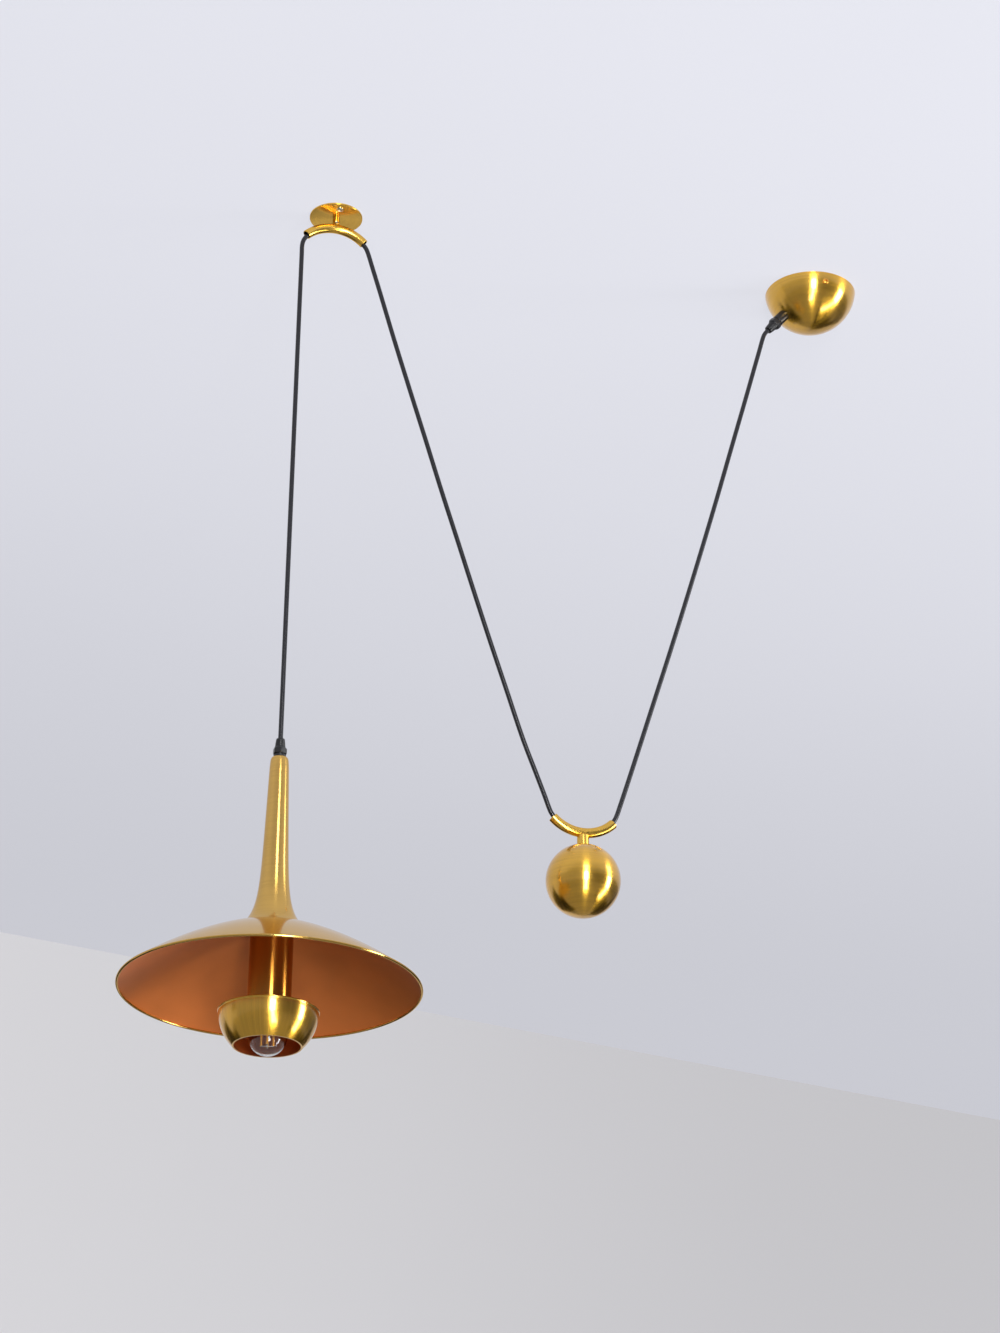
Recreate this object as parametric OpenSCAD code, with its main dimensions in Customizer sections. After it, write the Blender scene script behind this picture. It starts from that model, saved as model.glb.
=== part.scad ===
// Rise and fall pendant: a ceiling canopy, a ceiling hook, a counterweight and a lamp on one cord.
// The origin is the centre of the canopy on the ceiling, +Z is up, +X points from hook to canopy.

/* [Layout] */
// Distance from the canopy's centre to the hook's centre
hook_spacing = 652; // [651:0.5:653]
// Distance from the hook's centre out to the lamp's axis
lamp_offset = 43; // [42.5:0.1:43.5]
// Distance from the canopy's centre to the counterweight's axis
weight_offset = 321; // [320.5:0.1:321.5]
// Depth of the shade's rim below the ceiling
rim_drop = 1057; // [1050:1:1090]
// Depth of the counterweight tube's lowest centre point below the ceiling
weight_tube_drop = 819; // [818.5:0.1:819.5]

/* [Canopy] */
// Outer diameter of the canopy at the ceiling
canopy_d = 120; // [110:1:130]
// Depth of the canopy below the ceiling
canopy_depth = 52; // [48:1:56]
// Thickness of the canopy's wall
canopy_wall = 1; // [0.8:0.1:1.5]
// Depth of the canopy's side screws below the ceiling
side_screw_drop = 12; // [10:1:14]
// Distance between the two ceiling slots in the crossbar
slot_spacing = 70; // [60:1:80]

/* [Hook] */
// Diameter of the hook's ceiling disc
disc_d = 68; // [60:1:80]
// Thickness of the hook's ceiling disc
disc_t = 2; // [1.5:0.1:3]
// Diameter of the hook's post
post_d = 8.4; // [8:0.1:10]
// Distance between the two ceiling screws in the disc
disc_screw_spacing = 47; // [40:1:50]

/* [Curved tubes] */
// Outside diameter of the two curved tubes
tube_d = 12; // [11.8:0.1:12.4]
// Bore of the two curved tubes
tube_bore = 10; // [9.8:0.1:10.2]
// Bend radius of the tubes' centre line
tube_bend = 52.5; // [52:0.1:53]
// Angle from the middle of a curved tube to each of its ends
tube_half_angle = 46; // [44:1:47]

/* [Cord] */
// Diameter of the cord
cord_d = 5.8; // [5.4:0.1:6]

/* [Counterweight] */
// Diameter of the counterweight ball
ball_d = 90; // [80:1:100]
// Diameter of the neck between ball and tube
neck_d = 14.4; // [13:0.1:16]
// Distance from the curved tube's centre line to the ball's centre
ball_below_tube = 62; // [61:0.5:64]

/* [Stem] */
// Length of the trumpet stem
stem_h = 215; // [200:1:230]
// Radius of the stem below its rounded shoulder
stem_r = 11; // [10.8:0.1:11.4]
// Growth of the stem's radius over its length, without the flare
stem_taper = 7.1; // [6.5:0.1:7.5]
// Extra radius of the flare at the foot
flare_r = 19.5; // [18:0.1:20]
// Height over which the flare fades away
flare_h = 20; // [18:1:22]
// Thickness of the stem's wall
stem_wall = 1.6; // [1.2:0.1:2]

/* [Shade] */
// Outer diameter of the shade over its rolled rim
shade_d = 350; // [340:1:360]
// Rise of the shade's rounded part
shade_round = 42.5; // [40:0.5:45]
// Rise of the shade's straight part
shade_cone = 39.8; // [38:0.1:42]
// Thickness of the shade's metal
shade_t = 1.2; // [1:0.1:1.5]
// Diameter of the rolled bead at the rim
bead_d = 3.2; // [3:0.1:3.6]
// Radius of the flat seat for the stem in the middle of the shade
seat_r = 38; // [38:0.5:40]

/* [Reflector] */
// Outside diameter of the inner tube
inner_d = 50; // [48:1:54]
// Thickness of the inner tube's wall
inner_wall = 1.2; // [1:0.1:1.5]
// Outside diameter of the reflector cup
cup_d = 115; // [112:1:118]
// Depth of the cup's upper edge below the shade's rim
cup_top_drop = 27; // [25:1:28]
// Height of the cup
cup_h = 41.5; // [40:0.5:43]
// Thickness of the cup's wall
cup_wall = 1.2; // [1:0.1:1.4]

/* [Bulb] */
// Diameter of the bulb's globe
globe_d = 45; // [44:0.5:47]
// Distance from the cup's lower edge down to the lowest point of the globe
globe_below_cup = 11; // [9:0.5:12]

/* [Hidden] */
$fn = 96;
eps = 0.01;

// Places of the main axes
hook_x = -hook_spacing;
lamp_x = hook_x - lamp_offset;
weight_x = -weight_offset;

// Canopy: part of a sphere that meets the ceiling at canopy_d
canopy_r = (pow(canopy_d / 2, 2) + pow(canopy_depth, 2)) / (2 * canopy_depth);
canopy_cz = canopy_r - canopy_depth;

// Cord gland: its tip is where the free cord starts, and it points away from the canopy's centre
gland_tip = [-62, -65.5];
gland_angle = atan2(canopy_cz - gland_tip[1], -gland_tip[0]);
gland_reach = norm([gland_tip[0], gland_tip[1] - canopy_cz]);
gland_nose_h = 12;
gland_nose_r = 6.5;
gland_end_r = 5.2;
gland_nut_h = 7.5;
gland_nut_r = 8.5;
gland_nut_af = 15;
gland_body_h = gland_reach - canopy_r - gland_nose_h - gland_nut_h;
gland_body_r = 7.5;
gland_collar_h = 4.5;
gland_pocket_h = gland_body_h - gland_collar_h;
gland_pocket_r = gland_body_r + 0.1;
gland_thread_r = 5;
gland_thread_h = 9;
gland_bore_r = cord_d / 2 + 0.3;
locknut_af = 14;
locknut_h = 2.5;

// Crossbar behind the canopy
bar_w = 24;
bar_t = 1.5;
bar_slot_r = 2.5;
bar_slot_l = 12;
ear_w = 14;
ear_drop = 18;
cable_hole_r = 7;
side_screw_r = 1.8;
side_head_r = 3.8;
side_head_h = 2;
side_canopy_r = sqrt(pow(canopy_r, 2) - pow(side_screw_drop + canopy_cz, 2));
shell_inside_r = canopy_r - canopy_wall;
bar_end_y = sqrt(pow(shell_inside_r, 2) - pow(ear_drop + canopy_cz, 2) - pow(ear_w / 2, 2)) - 0.5;

// Terminal block, hung under a tab of the crossbar
block = [16, 24, 12];
block_at = [13, -12, -bar_t - 0.05 - block[2]];
way_pitch = 8;
way_z = block_at[2] + 6;
way_r = 1.6;
block_screw_y = way_pitch / 2;
tab_end_x = 30;
earth_at = [-6, 17];
core_d = 2;

// Hook
hook_tube_z = -17.5;
disc_screw_r = 2.1;
disc_head_r = 4.2;
set_screw_z = -9.9;
set_screw_r = 1.2;
post_screw_r = 2;

// Lamp heights
rim_z = -rim_drop;
shade_edge_z = rim_z + bead_d / 2;
shade_r = shade_d / 2 - bead_d / 2;
seat_z = shade_edge_z + shade_rise(seat_r);
stem_top_z = seat_z + stem_h;
lamp_tip_z = stem_top_z + gland_collar_h + gland_nut_h + gland_nose_h;
cup_top_z = rim_z - cup_top_drop;
cup_r = cup_d / 2;
cup_bottom_z = cup_top_z - cup_h;
tube_bottom_z = cup_top_z - 8;
globe_z = cup_bottom_z - globe_below_cup + globe_d / 2;
rod_r = 5;
rod_bore_r = 3.4;
plate_h = 4;
holder_top_z = globe_z + 72;
holder_bottom_z = globe_z + 24;
cap_bottom_z = globe_z + 25;
contact_top_z = cap_bottom_z + 24.8;
cap_r = 13.2;

// The cord's route, seen from the front as [x, z], in three free stretches
route_canopy_to_weight = [
    gland_tip, [-64.6, -68.6], [-67.8, -74], [-70.5, -82], [-74, -95], [-82, -124],
    [-97, -178.5], [-117, -250], [-140.5, -334.5], [-165, -420], [-188.5, -500], [-208, -565],
    [-228, -630], [-249.5, -700], [-265, -750], [-274.5, -780], [-278.5, -792], [-281, -797.5],
    [-284.5, -802], [-292, -808.5], [-301, -813.5], [-311, -816.5], [-318, -817.5],
    [-321, -817.5]
];
route_weight_to_hook = [
    [-321, -817.5], [-324, -817.5], [-331, -816.5], [-341, -813.5], [-350, -808.5],
    [-357.5, -802], [-361, -797.5], [-363.5, -792], [-369, -777], [-380, -748.5], [-396.5, -706],
    [-418, -642.5], [-440, -577.5], [-461.5, -512], [-483, -445.5], [-505, -378],
    [-526.5, -309.5], [-548.5, -240.5], [-570.5, -170.5], [-592, -99.5], [-601, -70.5],
    [-609, -45], [-611.5, -39.5], [-615.5, -34.5], [-623, -28], [-632, -23], [-642, -20],
    [-649, -19], [-652, -19]
];
route_hook_to_lamp = [
    [-652, -19], [-655, -19], [-662, -20], [-672, -23], [-681, -28], [-688.5, -34.5],
    [-692, -39.5], [-694, -44.5], [-695, -51], [-695, -64], [-695, -100], [-695, -180], [-695, -260],
    [-695, -340], [-695, -420], [-695, -500], [-695, -580], [-695, -660], [-695, -720],
    [lamp_x, lamp_tip_z]
];

// ---------------------------------------------------------------- helpers

// Height of the shade's outer face above its edge, at a distance r from the axis
function shade_rise(r) =
    let (u = r / shade_r) shade_round * (1 - u * u) + shade_cone * (1 - u);

// Outer radius of the stem at a depth t below its top
function stem_radius(t) =
    stem_r + stem_taper * t / stem_h + flare_r * exp((t - stem_h) / flare_h);

// Point at a distance s from the canopy's centre along the gland, u and v off its axis
function on_gland(s, u, v) = [
    -s * cos(gland_angle) + u * sin(gland_angle),
    v,
    canopy_cz - s * sin(gland_angle) - u * cos(gland_angle)
];

function unit(v) = v / norm(v);

// Direction along a route at point i
function route_dir(p, i) = unit(p[min(i + 1, len(p) - 1)] - p[max(i - 1, 0)]);

// Routes seen from the front, [x, z], become points in the plane y = 0
function in_front_plane(route) = [for (p = route) [p[0], 0, p[1]]];

// One round tube along a route of [x, y, z] points
module swept_tube(route, d, sides) {
    n = len(route);
    last = (n - 1) * sides;
    r = d / 2 / cos(90 / sides);
    points = [
        for (i = [0 : n - 1])
            let (t = route_dir(route, i), side = unit(cross([0, 1, 0], t)), up = cross(t, side))
            for (k = [0 : sides - 1])
                let (a = 360 * k / sides)
                route[i] + r * cos(a) * side + r * sin(a) * up
    ];
    wall = [
        for (i = [0 : n - 2], k = [0 : sides - 1])
            let (a = i * sides + k, b = i * sides + (k + 1) % sides)
            each [[a, a + sides, b], [b, a + sides, b + sides]]
    ];
    start_cap = [for (k = [1 : sides - 2]) [0, k, k + 1]];
    end_cap = [for (k = [1 : sides - 2]) [last, last + k + 1, last + k]];
    polyhedron(points, concat(wall, start_cap, end_cap));
}

// Moves children to the gland's axis: +Z then runs out along the gland, from the canopy's centre
module on_gland_axis() {
    translate([0, 0, canopy_cz])
        rotate([0, -(90 + gland_angle), 0])
            children();
}

module ring(r_out, r_in, h) {
    difference() {
        cylinder(r = r_out, h = h);
        translate([0, 0, -1]) cylinder(r = r_in, h = h + 2);
    }
}

// Hexagon with its flat-to-flat width
module hex_bar(across_flats, h) {
    cylinder(d = across_flats / cos(30), h = h, $fn = 6);
}

// Curved tube whose middle is at the origin, bent down like an arch
module arch_solid(d, half_angle = tube_half_angle) {
    translate([0, 0, -tube_bend])
        rotate([90, 0, 0])
            rotate([0, 0, 90 - half_angle])
                rotate_extrude(angle = 2 * half_angle, $fn = 120)
                    translate([tube_bend, 0])
                        circle(d = d, $fn = 48);
}

module arch_tube() {
    difference() {
        arch_solid(tube_d);
        arch_solid(tube_bore, tube_half_angle + 1);
    }
}

// Pan-head screw along +Z: its head's underside is at the origin and its shank goes down
module pan_screw(shank_r, shank_h, head_r, head_h) {
    difference() {
        union() {
            translate([0, 0, -shank_h]) cylinder(r = shank_r, h = shank_h + eps);
            intersection() {
                cylinder(r = head_r, h = head_h);
                translate([0, 0, head_h - 1.5 * head_r]) sphere(r = 1.5 * head_r);
            }
        }
        cross_recess(head_r * 0.9, head_h);
    }
}

module cross_recess(w, head_h) {
    for (a = [0, 90])
        rotate([0, 0, a])
            translate([-w / 2, -w / 10, head_h * 0.45])
                cube([w, w / 5, head_h]);
}

// ---------------------------------------------------------------- canopy

module canopy_shell() {
    color("#b8964a")
    difference() {
        translate([0, 0, canopy_cz]) sphere(r = canopy_r);
        translate([0, 0, canopy_cz]) sphere(r = canopy_r - canopy_wall);
        translate([0, 0, canopy_r]) cube([4 * canopy_r, 4 * canopy_r, 2 * canopy_r], center = true);
        on_gland_axis()
            translate([0, 0, canopy_r / 2]) cylinder(r = gland_thread_r + 0.15, h = canopy_r);
        translate([0, -canopy_r, -side_screw_drop])
            rotate([-90, 0, 0]) cylinder(r = side_screw_r + 0.3, h = 2 * canopy_r);
    }
}

module canopy_crossbar() {
    color("#b9bcc0")
    difference() {
        union() {
            translate([-bar_w / 2, -bar_end_y, -bar_t]) cube([bar_w, 2 * bar_end_y, bar_t]);
            translate([0, -block[1] / 2, -bar_t]) cube([tab_end_x, block[1], bar_t]);
            for (s = [-1, 1])
                translate([-ear_w / 2, s * (bar_end_y - bar_t / 2) - bar_t / 2, -ear_drop])
                    cube([ear_w, bar_t, ear_drop]);
        }
        translate([0, 0, -bar_t - 1]) cylinder(r = cable_hole_r, h = bar_t + 2);
        for (s = [-1, 1])
            translate([0, s * slot_spacing / 2, -bar_t - 1])
                bar_slot();
        translate([earth_at[0], earth_at[1], -bar_t - 1]) cylinder(r = 1.75, h = bar_t + 2);
        for (s = [-1, 1])
            translate([block_at[0] + block[0] / 2, s * block_screw_y, -bar_t - 1])
                cylinder(r = 1.25, h = bar_t + 2);
        translate([0, -bar_end_y - 1, -side_screw_drop])
            rotate([-90, 0, 0]) cylinder(r = side_screw_r + 0.05, h = 2 * bar_end_y + 2);
    }
}

module bar_slot() {
    run = bar_slot_l / 2 - bar_slot_r;
    for (s = [-1, 1])
        translate([0, s * run, 0]) cylinder(r = bar_slot_r, h = bar_t + 2);
    translate([-bar_slot_r, -run, 0]) cube([2 * bar_slot_r, 2 * run, bar_t + 2]);
}

// The heads sit on the round shell, so their undersides are hollowed to it
module canopy_side_screws() {
    color("#c79a4c")
    for (s = [-1, 1])
        difference() {
            translate([0, s * (side_canopy_r + 0.3), -side_screw_drop])
                rotate([-90 * s, 0, 0]) {
                    pan_screw(side_screw_r, 9, side_head_r, side_head_h);
                    translate([0, 0, -1.5]) ring(side_head_r, side_screw_r - eps, 1.5 + eps);
                }
            difference() {
                translate([0, 0, canopy_cz]) sphere(r = canopy_r + 0.02);
                translate([0, 0, -side_screw_drop])
                    rotate([90, 0, 0]) cylinder(r = side_screw_r, h = 4 * canopy_r, center = true);
            }
        }
}

// ---------------------------------------------------------------- cord gland, used twice

// Gland along +Z from its seat: the body with its thread, then the cap nut up to the tip
module gland_body_flange(foot = 0) {
    translate([0, 0, -foot]) cylinder(r = gland_body_r, h = foot + gland_body_h - 1.2);
    translate([0, 0, gland_body_h - 1.2 - eps]) cylinder(r = gland_body_r - 1.2, h = 1.2 + eps);
}

module gland_body_thread() {
    translate([0, 0, -gland_thread_h]) cylinder(r = gland_thread_r, h = gland_thread_h + 2);
}

module gland_body_bore() {
    translate([0, 0, -gland_thread_h - 1])
        cylinder(r = gland_bore_r, h = gland_thread_h + gland_body_h + 2);
}

// Radius of the nut's nose at a height above its foot
function nose_radius(h) = gland_nose_r - (gland_nose_r - gland_end_r) * h / gland_nose_h;

// Outline of the nose: a cone with four grooves and a rounded end
nose_outline = concat(
    [[0, -eps], [gland_nose_r, -eps]],
    [
        for (k = [0 : 3])
            let (h = 2 + 2.2 * k, r = nose_radius(h))
            each [[r, h], [r - 0.35, h + 0.25], [r - 0.35, h + 0.75], [r - 0.1, h + 1]]
    ],
    [[gland_end_r, gland_nose_h - 0.9], [gland_end_r - 0.8, gland_nose_h], [0, gland_nose_h]]
);

// Hexagon with rounded corners, then the grooved nose that grips the cord
module gland_nut_solid() {
    difference() {
        union() {
            intersection() {
                hex_bar(gland_nut_af, gland_nut_h);
                rotate_extrude()
                    polygon([
                        [0, 0], [gland_nut_r - 1, 0], [gland_nut_r, 1],
                        [gland_nut_r, gland_nut_h - 1.8], [gland_nut_r - 1.4, gland_nut_h],
                        [0, gland_nut_h]
                    ]);
            }
            translate([0, 0, gland_nut_h]) rotate_extrude() polygon(nose_outline);
        }
        translate([0, 0, -1]) cylinder(r = gland_bore_r, h = gland_nut_h + gland_nose_h + 2);
    }
}

// The canopy's gland has its foot shaped to the round shell
module canopy_gland_body() {
    color("#1b1b1d")
    on_gland_axis()
        difference() {
            union() {
                difference() {
                    translate([0, 0, canopy_r]) gland_body_flange(1);
                    sphere(r = canopy_r + 0.02);
                }
                translate([0, 0, canopy_r]) gland_body_thread();
            }
            translate([0, 0, canopy_r]) gland_body_bore();
        }
}

module canopy_gland_nut() {
    color("#1b1b1d")
    on_gland_axis()
        translate([0, 0, canopy_r + gland_body_h + eps]) gland_nut_solid();
}

module canopy_gland_locknut() {
    color("#1b1b1d")
    on_gland_axis()
        translate([0, 0, shell_inside_r - 0.7 - locknut_h])
            difference() {
                hex_bar(locknut_af, locknut_h);
                translate([0, 0, -1]) cylinder(r = gland_thread_r + 0.05, h = locknut_h + 2);
            }
}

// ---------------------------------------------------------------- wiring in the canopy

module terminal_block() {
    color("#e8e6df")
    difference() {
        translate(block_at) cube(block);
        for (y = [-way_pitch, 0, way_pitch]) {
            translate([block_at[0] - 1, y, way_z])
                rotate([0, 90, 0]) cylinder(r = way_r, h = block[0] + 2);
            for (x = terminal_screw_xs)
                translate([x, y, block_at[2] - 1]) cylinder(r = 1.6, h = 5.2);
        }
        for (s = [-1, 1])
            translate([block_at[0] + block[0] / 2, s * block_screw_y, block_at[2] - 1])
                cylinder(r = 1.3, h = block[2] + 2);
    }
}

terminal_screw_xs = [block_at[0] + 3.5, block_at[0] + block[0] - 3.5];

module terminal_screws() {
    color("#c9c9c4")
    for (x = terminal_screw_xs, y = [-way_pitch, 0, way_pitch])
        translate([x, y, block_at[2] + 0.6]) cylinder(r = 1.5, h = 2.4);
}

module terminal_block_screws() {
    color("#c9c9c4")
    for (s = [-1, 1])
        translate([block_at[0] + block[0] / 2, s * block_screw_y, block_at[2] - 0.02])
            rotate([180, 0, 0]) pan_screw(1.2, block[2] + bar_t, 2.2, 1.3);
}

// The tail runs from the gland's tip back through the gland into the canopy
tail_end = 38;

module canopy_cord_tail() {
    color("#161618")
    on_gland_axis()
        translate([0, 0, tail_end]) cylinder(d = cord_d, h = gland_reach - tail_end, $fn = 48);
}

// Each core leaves the sheath, bends over and runs to its screw
module canopy_live_core() {
    color("#7a4a2a")
    swept_tube([
        on_gland(tail_end, 0.7, -1.25), on_gland(tail_end - 5, 0.7, -1.25), [-16, -3, -12.5],
        [-9, -5, -9.5], [0, -7.5, -8], [8, -8, -7.55], [15.5, -8, -7.55]
    ], core_d, 8);
}

module canopy_neutral_core() {
    color("#2b5fa8")
    swept_tube([
        on_gland(tail_end, 0.7, 1.25), on_gland(tail_end - 5, 0.7, 1.25), [-15.5, 1, -14],
        [-8, 0.5, -11], [0, 0, -8.5], [8, 0, -7.55], [15.5, 0, -7.55]
    ], core_d, 8);
}

// The earth core ends in a ring tag under the earth screw
module canopy_earth_core() {
    color("#6f9a2e")
    difference() {
        union() {
            swept_tube([
                on_gland(tail_end, -1.5, 0), on_gland(tail_end - 4, -1.5, 0), [-18.5, 3.5, -12],
                [-14.5, 8, -8], [-11.5, 11.5, -4.5], [-8.6, 14.3, -2.7]
            ], core_d, 8);
            translate([earth_at[0], earth_at[1], -bar_t - 0.65]) cylinder(r = 3.6, h = 0.6);
        }
        translate([earth_at[0], earth_at[1], -8]) cylinder(r = 1.8, h = 8);
        translate([earth_at[0], earth_at[1], -8]) cylinder(r = 3.4, h = 8 - bar_t - 0.65);
    }
}

module earth_screw() {
    color("#c79a4c")
    translate([earth_at[0], earth_at[1], -bar_t - 0.67])
        rotate([180, 0, 0]) pan_screw(1.7, bar_t + 0.6, 3.2, 1.8);
}

// ---------------------------------------------------------------- hook

module hook_disc() {
    color("#b8964a")
    translate([hook_x, 0, 0])
        difference() {
            translate([0, 0, -disc_t])
                rotate_extrude()
                    polygon([
                        [0, 0], [disc_d / 2 - 0.5, 0], [disc_d / 2, 0.5],
                        [disc_d / 2, disc_t], [0, disc_t]
                    ]);
            for (s = [-1, 1])
                translate([0, s * disc_screw_spacing / 2, -disc_t - 1])
                    cylinder(r = disc_screw_r + 0.2, h = disc_t + 2);
            translate([0, 0, -disc_t - 1]) cylinder(r = post_screw_r + 0.1, h = disc_t + 2);
            translate([0, 0, -disc_t + 0.1]) cylinder(r1 = 2.1, r2 = 4.1, h = disc_t);
        }
}

module hook_disc_screws() {
    color("#d2d4d6")
    for (s = [-1, 1])
        translate([hook_x, s * disc_screw_spacing / 2, -disc_t - 0.02])
            rotate([180, 0, 20]) pan_screw(disc_screw_r, disc_t, disc_head_r, 2.2);
}

module hook_post() {
    color("#b8964a")
    translate([hook_x, 0, 0])
        difference() {
            translate([0, 0, hook_tube_z]) cylinder(d = post_d, h = -hook_tube_z - disc_t);
            translate([0, 0, hook_tube_z]) arch_solid(tube_d);
            translate([0, 0, set_screw_z]) rotate([90, 0, 0]) cylinder(r = set_screw_r + 0.1, h = 10);
            translate([0, 0, -6.6]) cylinder(r = post_screw_r + 0.05, h = 6.6);
        }
}

// Countersunk screw that holds the post to the disc from behind
module hook_post_screw() {
    color("#9a9c9e")
    translate([hook_x, 0, 0]) {
        translate([0, 0, -6.4]) cylinder(r = post_screw_r, h = 5);
        translate([0, 0, -1.8]) cylinder(r1 = 2, r2 = 3.8, h = 1.8);
    }
}

module hook_set_screw() {
    color("#d2d4d6")
    translate([hook_x, -post_d / 2 - 0.1, set_screw_z])
        rotate([90, 0, 0]) pan_screw(set_screw_r, 4, 2.2, 1.4);
}

module hook_tube() {
    color("#c2a052")
    translate([hook_x, 0, hook_tube_z]) arch_tube();
}

// ---------------------------------------------------------------- cord

module cord_canopy_to_weight() {
    color("#161618")
    swept_tube(in_front_plane(route_canopy_to_weight), cord_d, 10);
}

module cord_weight_to_hook() {
    color("#161618")
    swept_tube(in_front_plane(route_weight_to_hook), cord_d, 10);
}

module cord_hook_to_lamp() {
    color("#161618")
    swept_tube(in_front_plane(route_hook_to_lamp), cord_d, 10);
}

// ---------------------------------------------------------------- counterweight

stud_r = 4;
stud_h = 38;
neck_saddle = 3.5;

module at_weight() {
    translate([weight_x, 0, -weight_tube_drop]) children();
}

module weight_tube() {
    color("#c2a052")
    at_weight() rotate([180, 0, 0]) arch_tube();
}

module weight_neck() {
    color("#c2a052")
    at_weight()
        difference() {
            translate([0, 0, -ball_below_tube + ball_d / 2 - 3])
                cylinder(d = neck_d, h = ball_below_tube - ball_d / 2 + 3 - neck_saddle);
            rotate([180, 0, 0]) arch_solid(tube_d);
            translate([0, 0, -ball_below_tube]) sphere(d = ball_d);
            translate([0, 0, -ball_below_tube]) cylinder(r = stud_r + 0.1, h = ball_below_tube);
        }
}

module weight_stud() {
    color("#9a9c9e")
    at_weight()
        translate([0, 0, -tube_d / 2 - 0.1 - stud_h]) cylinder(r = stud_r, h = stud_h);
}

module weight_ball() {
    color("#b8964a")
    at_weight()
        translate([0, 0, -ball_below_tube])
            difference() {
                sphere(d = ball_d);
                translate([0, 0, ball_below_tube - tube_d / 2 - stud_h - 2])
                    cylinder(r = stud_r + 0.1, h = ball_d);
            }
}

// ---------------------------------------------------------------- lamp

module at_lamp(z = 0) {
    translate([lamp_x, 0, z]) children();
}

module lamp_gland_nut() {
    color("#1b1b1d")
    at_lamp(stem_top_z + gland_collar_h + 0.05)
        gland_nut_solid();
}

module lamp_gland_body() {
    color("#1b1b1d")
    at_lamp(stem_top_z - gland_pocket_h)
        difference() {
            union() {
                gland_body_flange();
                gland_body_thread();
            }
            gland_body_bore();
        }
}

stem_web = 4;
stem_steps = 26;
stem_shoulder = [[8.4, 0], [9.5, 0.8], [10.3, 2.2], [10.8, 4.5], [11.1, 8]];

module stem() {
    first = 14;
    outer = [
        for (k = [0 : stem_steps])
            let (t = first + (stem_h - first) * (1 - pow(1 - k / stem_steps, 1.5)))
            [stem_radius(t), -t]
    ];
    inner = [
        for (k = [stem_steps : -1 : 0])
            let (t = first + 6 + (stem_h - stem_web - first - 6) * (1 - pow(1 - k / stem_steps, 1.5)))
            [stem_radius(t) - stem_wall, -t]
    ];
    color("#bd9c55")
    at_lamp(stem_top_z)
        rotate_extrude()
            polygon(concat(
                [for (p = stem_shoulder) [p[0], -p[1]]],
                outer,
                [[rod_r + 0.05, -stem_h], [rod_r + 0.05, -stem_h + stem_web]],
                inner,
                [[gland_thread_r + 0.1, -20], [gland_thread_r + 0.1, -gland_pocket_h],
                 [gland_pocket_r, -gland_pocket_h], [gland_pocket_r, 0]]
            ));
}

module threaded_rod() {
    bottom = holder_top_z - 5;
    top = seat_z + 16;
    color("#c9b98a")
    at_lamp(bottom) ring(rod_r, rod_bore_r, top - bottom);
}

shade_steps = 28;

module shade() {
    hole_r = rod_r + 0.1;
    outer = [
        for (k = [0 : shade_steps])
            let (r = seat_r + (shade_r - seat_r) * k / shade_steps)
            [r, shade_rise(r)]
    ];
    inner = [for (k = [shade_steps : -1 : 0]) [outer[k][0], outer[k][1] - shade_t]];
    color("#b8964a")
    at_lamp(shade_edge_z) {
        rotate_extrude($fn = 180)
            polygon(concat(
                [[hole_r, shade_rise(seat_r)]],
                outer,
                inner,
                [[hole_r, shade_rise(seat_r) - shade_t]]
            ));
        rotate_extrude($fn = 180)
            translate([shade_r, -bead_d / 2]) circle(d = bead_d, $fn = 24);
    }
}

module inner_tube() {
    color("#a9762f")
    at_lamp(tube_bottom_z)
        ring(inner_d / 2, inner_d / 2 - inner_wall, seat_z - shade_t - 0.05 - tube_bottom_z);
}

module tube_top_plate() {
    color("#b9bcc0")
    at_lamp(seat_z - shade_t - 0.1 - plate_h)
        ring(inner_d / 2 - inner_wall - 0.05, rod_r + 0.1, plate_h);
}

washer_h = 1.5;
nut_h = 5;

module clamp_washer() {
    color("#c9c9c4")
    at_lamp(seat_z - shade_t - 0.15 - plate_h - washer_h)
        ring(10, rod_r + 0.1, washer_h);
}

module clamp_nut() {
    color("#c9c9c4")
    at_lamp(seat_z - shade_t - 0.2 - plate_h - washer_h - nut_h)
        difference() {
            hex_bar(14, nut_h);
            translate([0, 0, -1]) cylinder(r = rod_r + 0.03, h = nut_h + 2);
        }
}

module lamp_cord_tail() {
    bottom = holder_top_z - 7;
    color("#161618")
    at_lamp(bottom) cylinder(d = cord_d, h = lamp_tip_z - bottom, $fn = 48);
}

// Lampholder: a dark body with a domed top, hung on the threaded rod
holder_r = 19.5;
shell_r = 14.6;

module holder_body() {
    h = holder_top_z - holder_bottom_z;
    color("#1f1d1b")
    at_lamp(holder_bottom_z)
        difference() {
            union() {
                cylinder(r = holder_r, h = h - 8);
                translate([0, 0, h - 8]) cylinder(r1 = holder_r, r2 = 12, h = 8);
            }
            translate([0, 0, -1]) cylinder(r = shell_r + 0.1, h = h - 14);
            translate([0, 0, 1]) cylinder(r = rod_r + 0.05, h = h);
        }
}

module holder_shell() {
    color("#c8ccce")
    at_lamp(holder_bottom_z + 1) ring(shell_r, cap_r + 0.6, 26);
}

module holder_contact() {
    color("#c79a4c")
    at_lamp(contact_top_z + 0.3) {
        cylinder(r = 3.2, h = 0.8);
        translate([0, -2, 0]) cube([9, 4, 0.8]);
        translate([8.2, -2, 0]) cube([0.8, 4, holder_top_z - 15 - contact_top_z - 0.35]);
    }
}

// Two cores from the end of the sheath: one to the centre contact, one to the threaded shell
module holder_wires() {
    color("#7a4a2a")
    at_lamp(holder_top_z) {
        swept_tube([[1.5, 0, -7.1], [1.5, 0, -13], [3, 0, -17], [6, 0, -20]], 1.8, 8);
        swept_tube([[-1.5, 0, -7.1], [-1.5, 0, -13], [-4, 0, -17], [-12.5, 0, -20]], 1.8, 8);
    }
}

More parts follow.
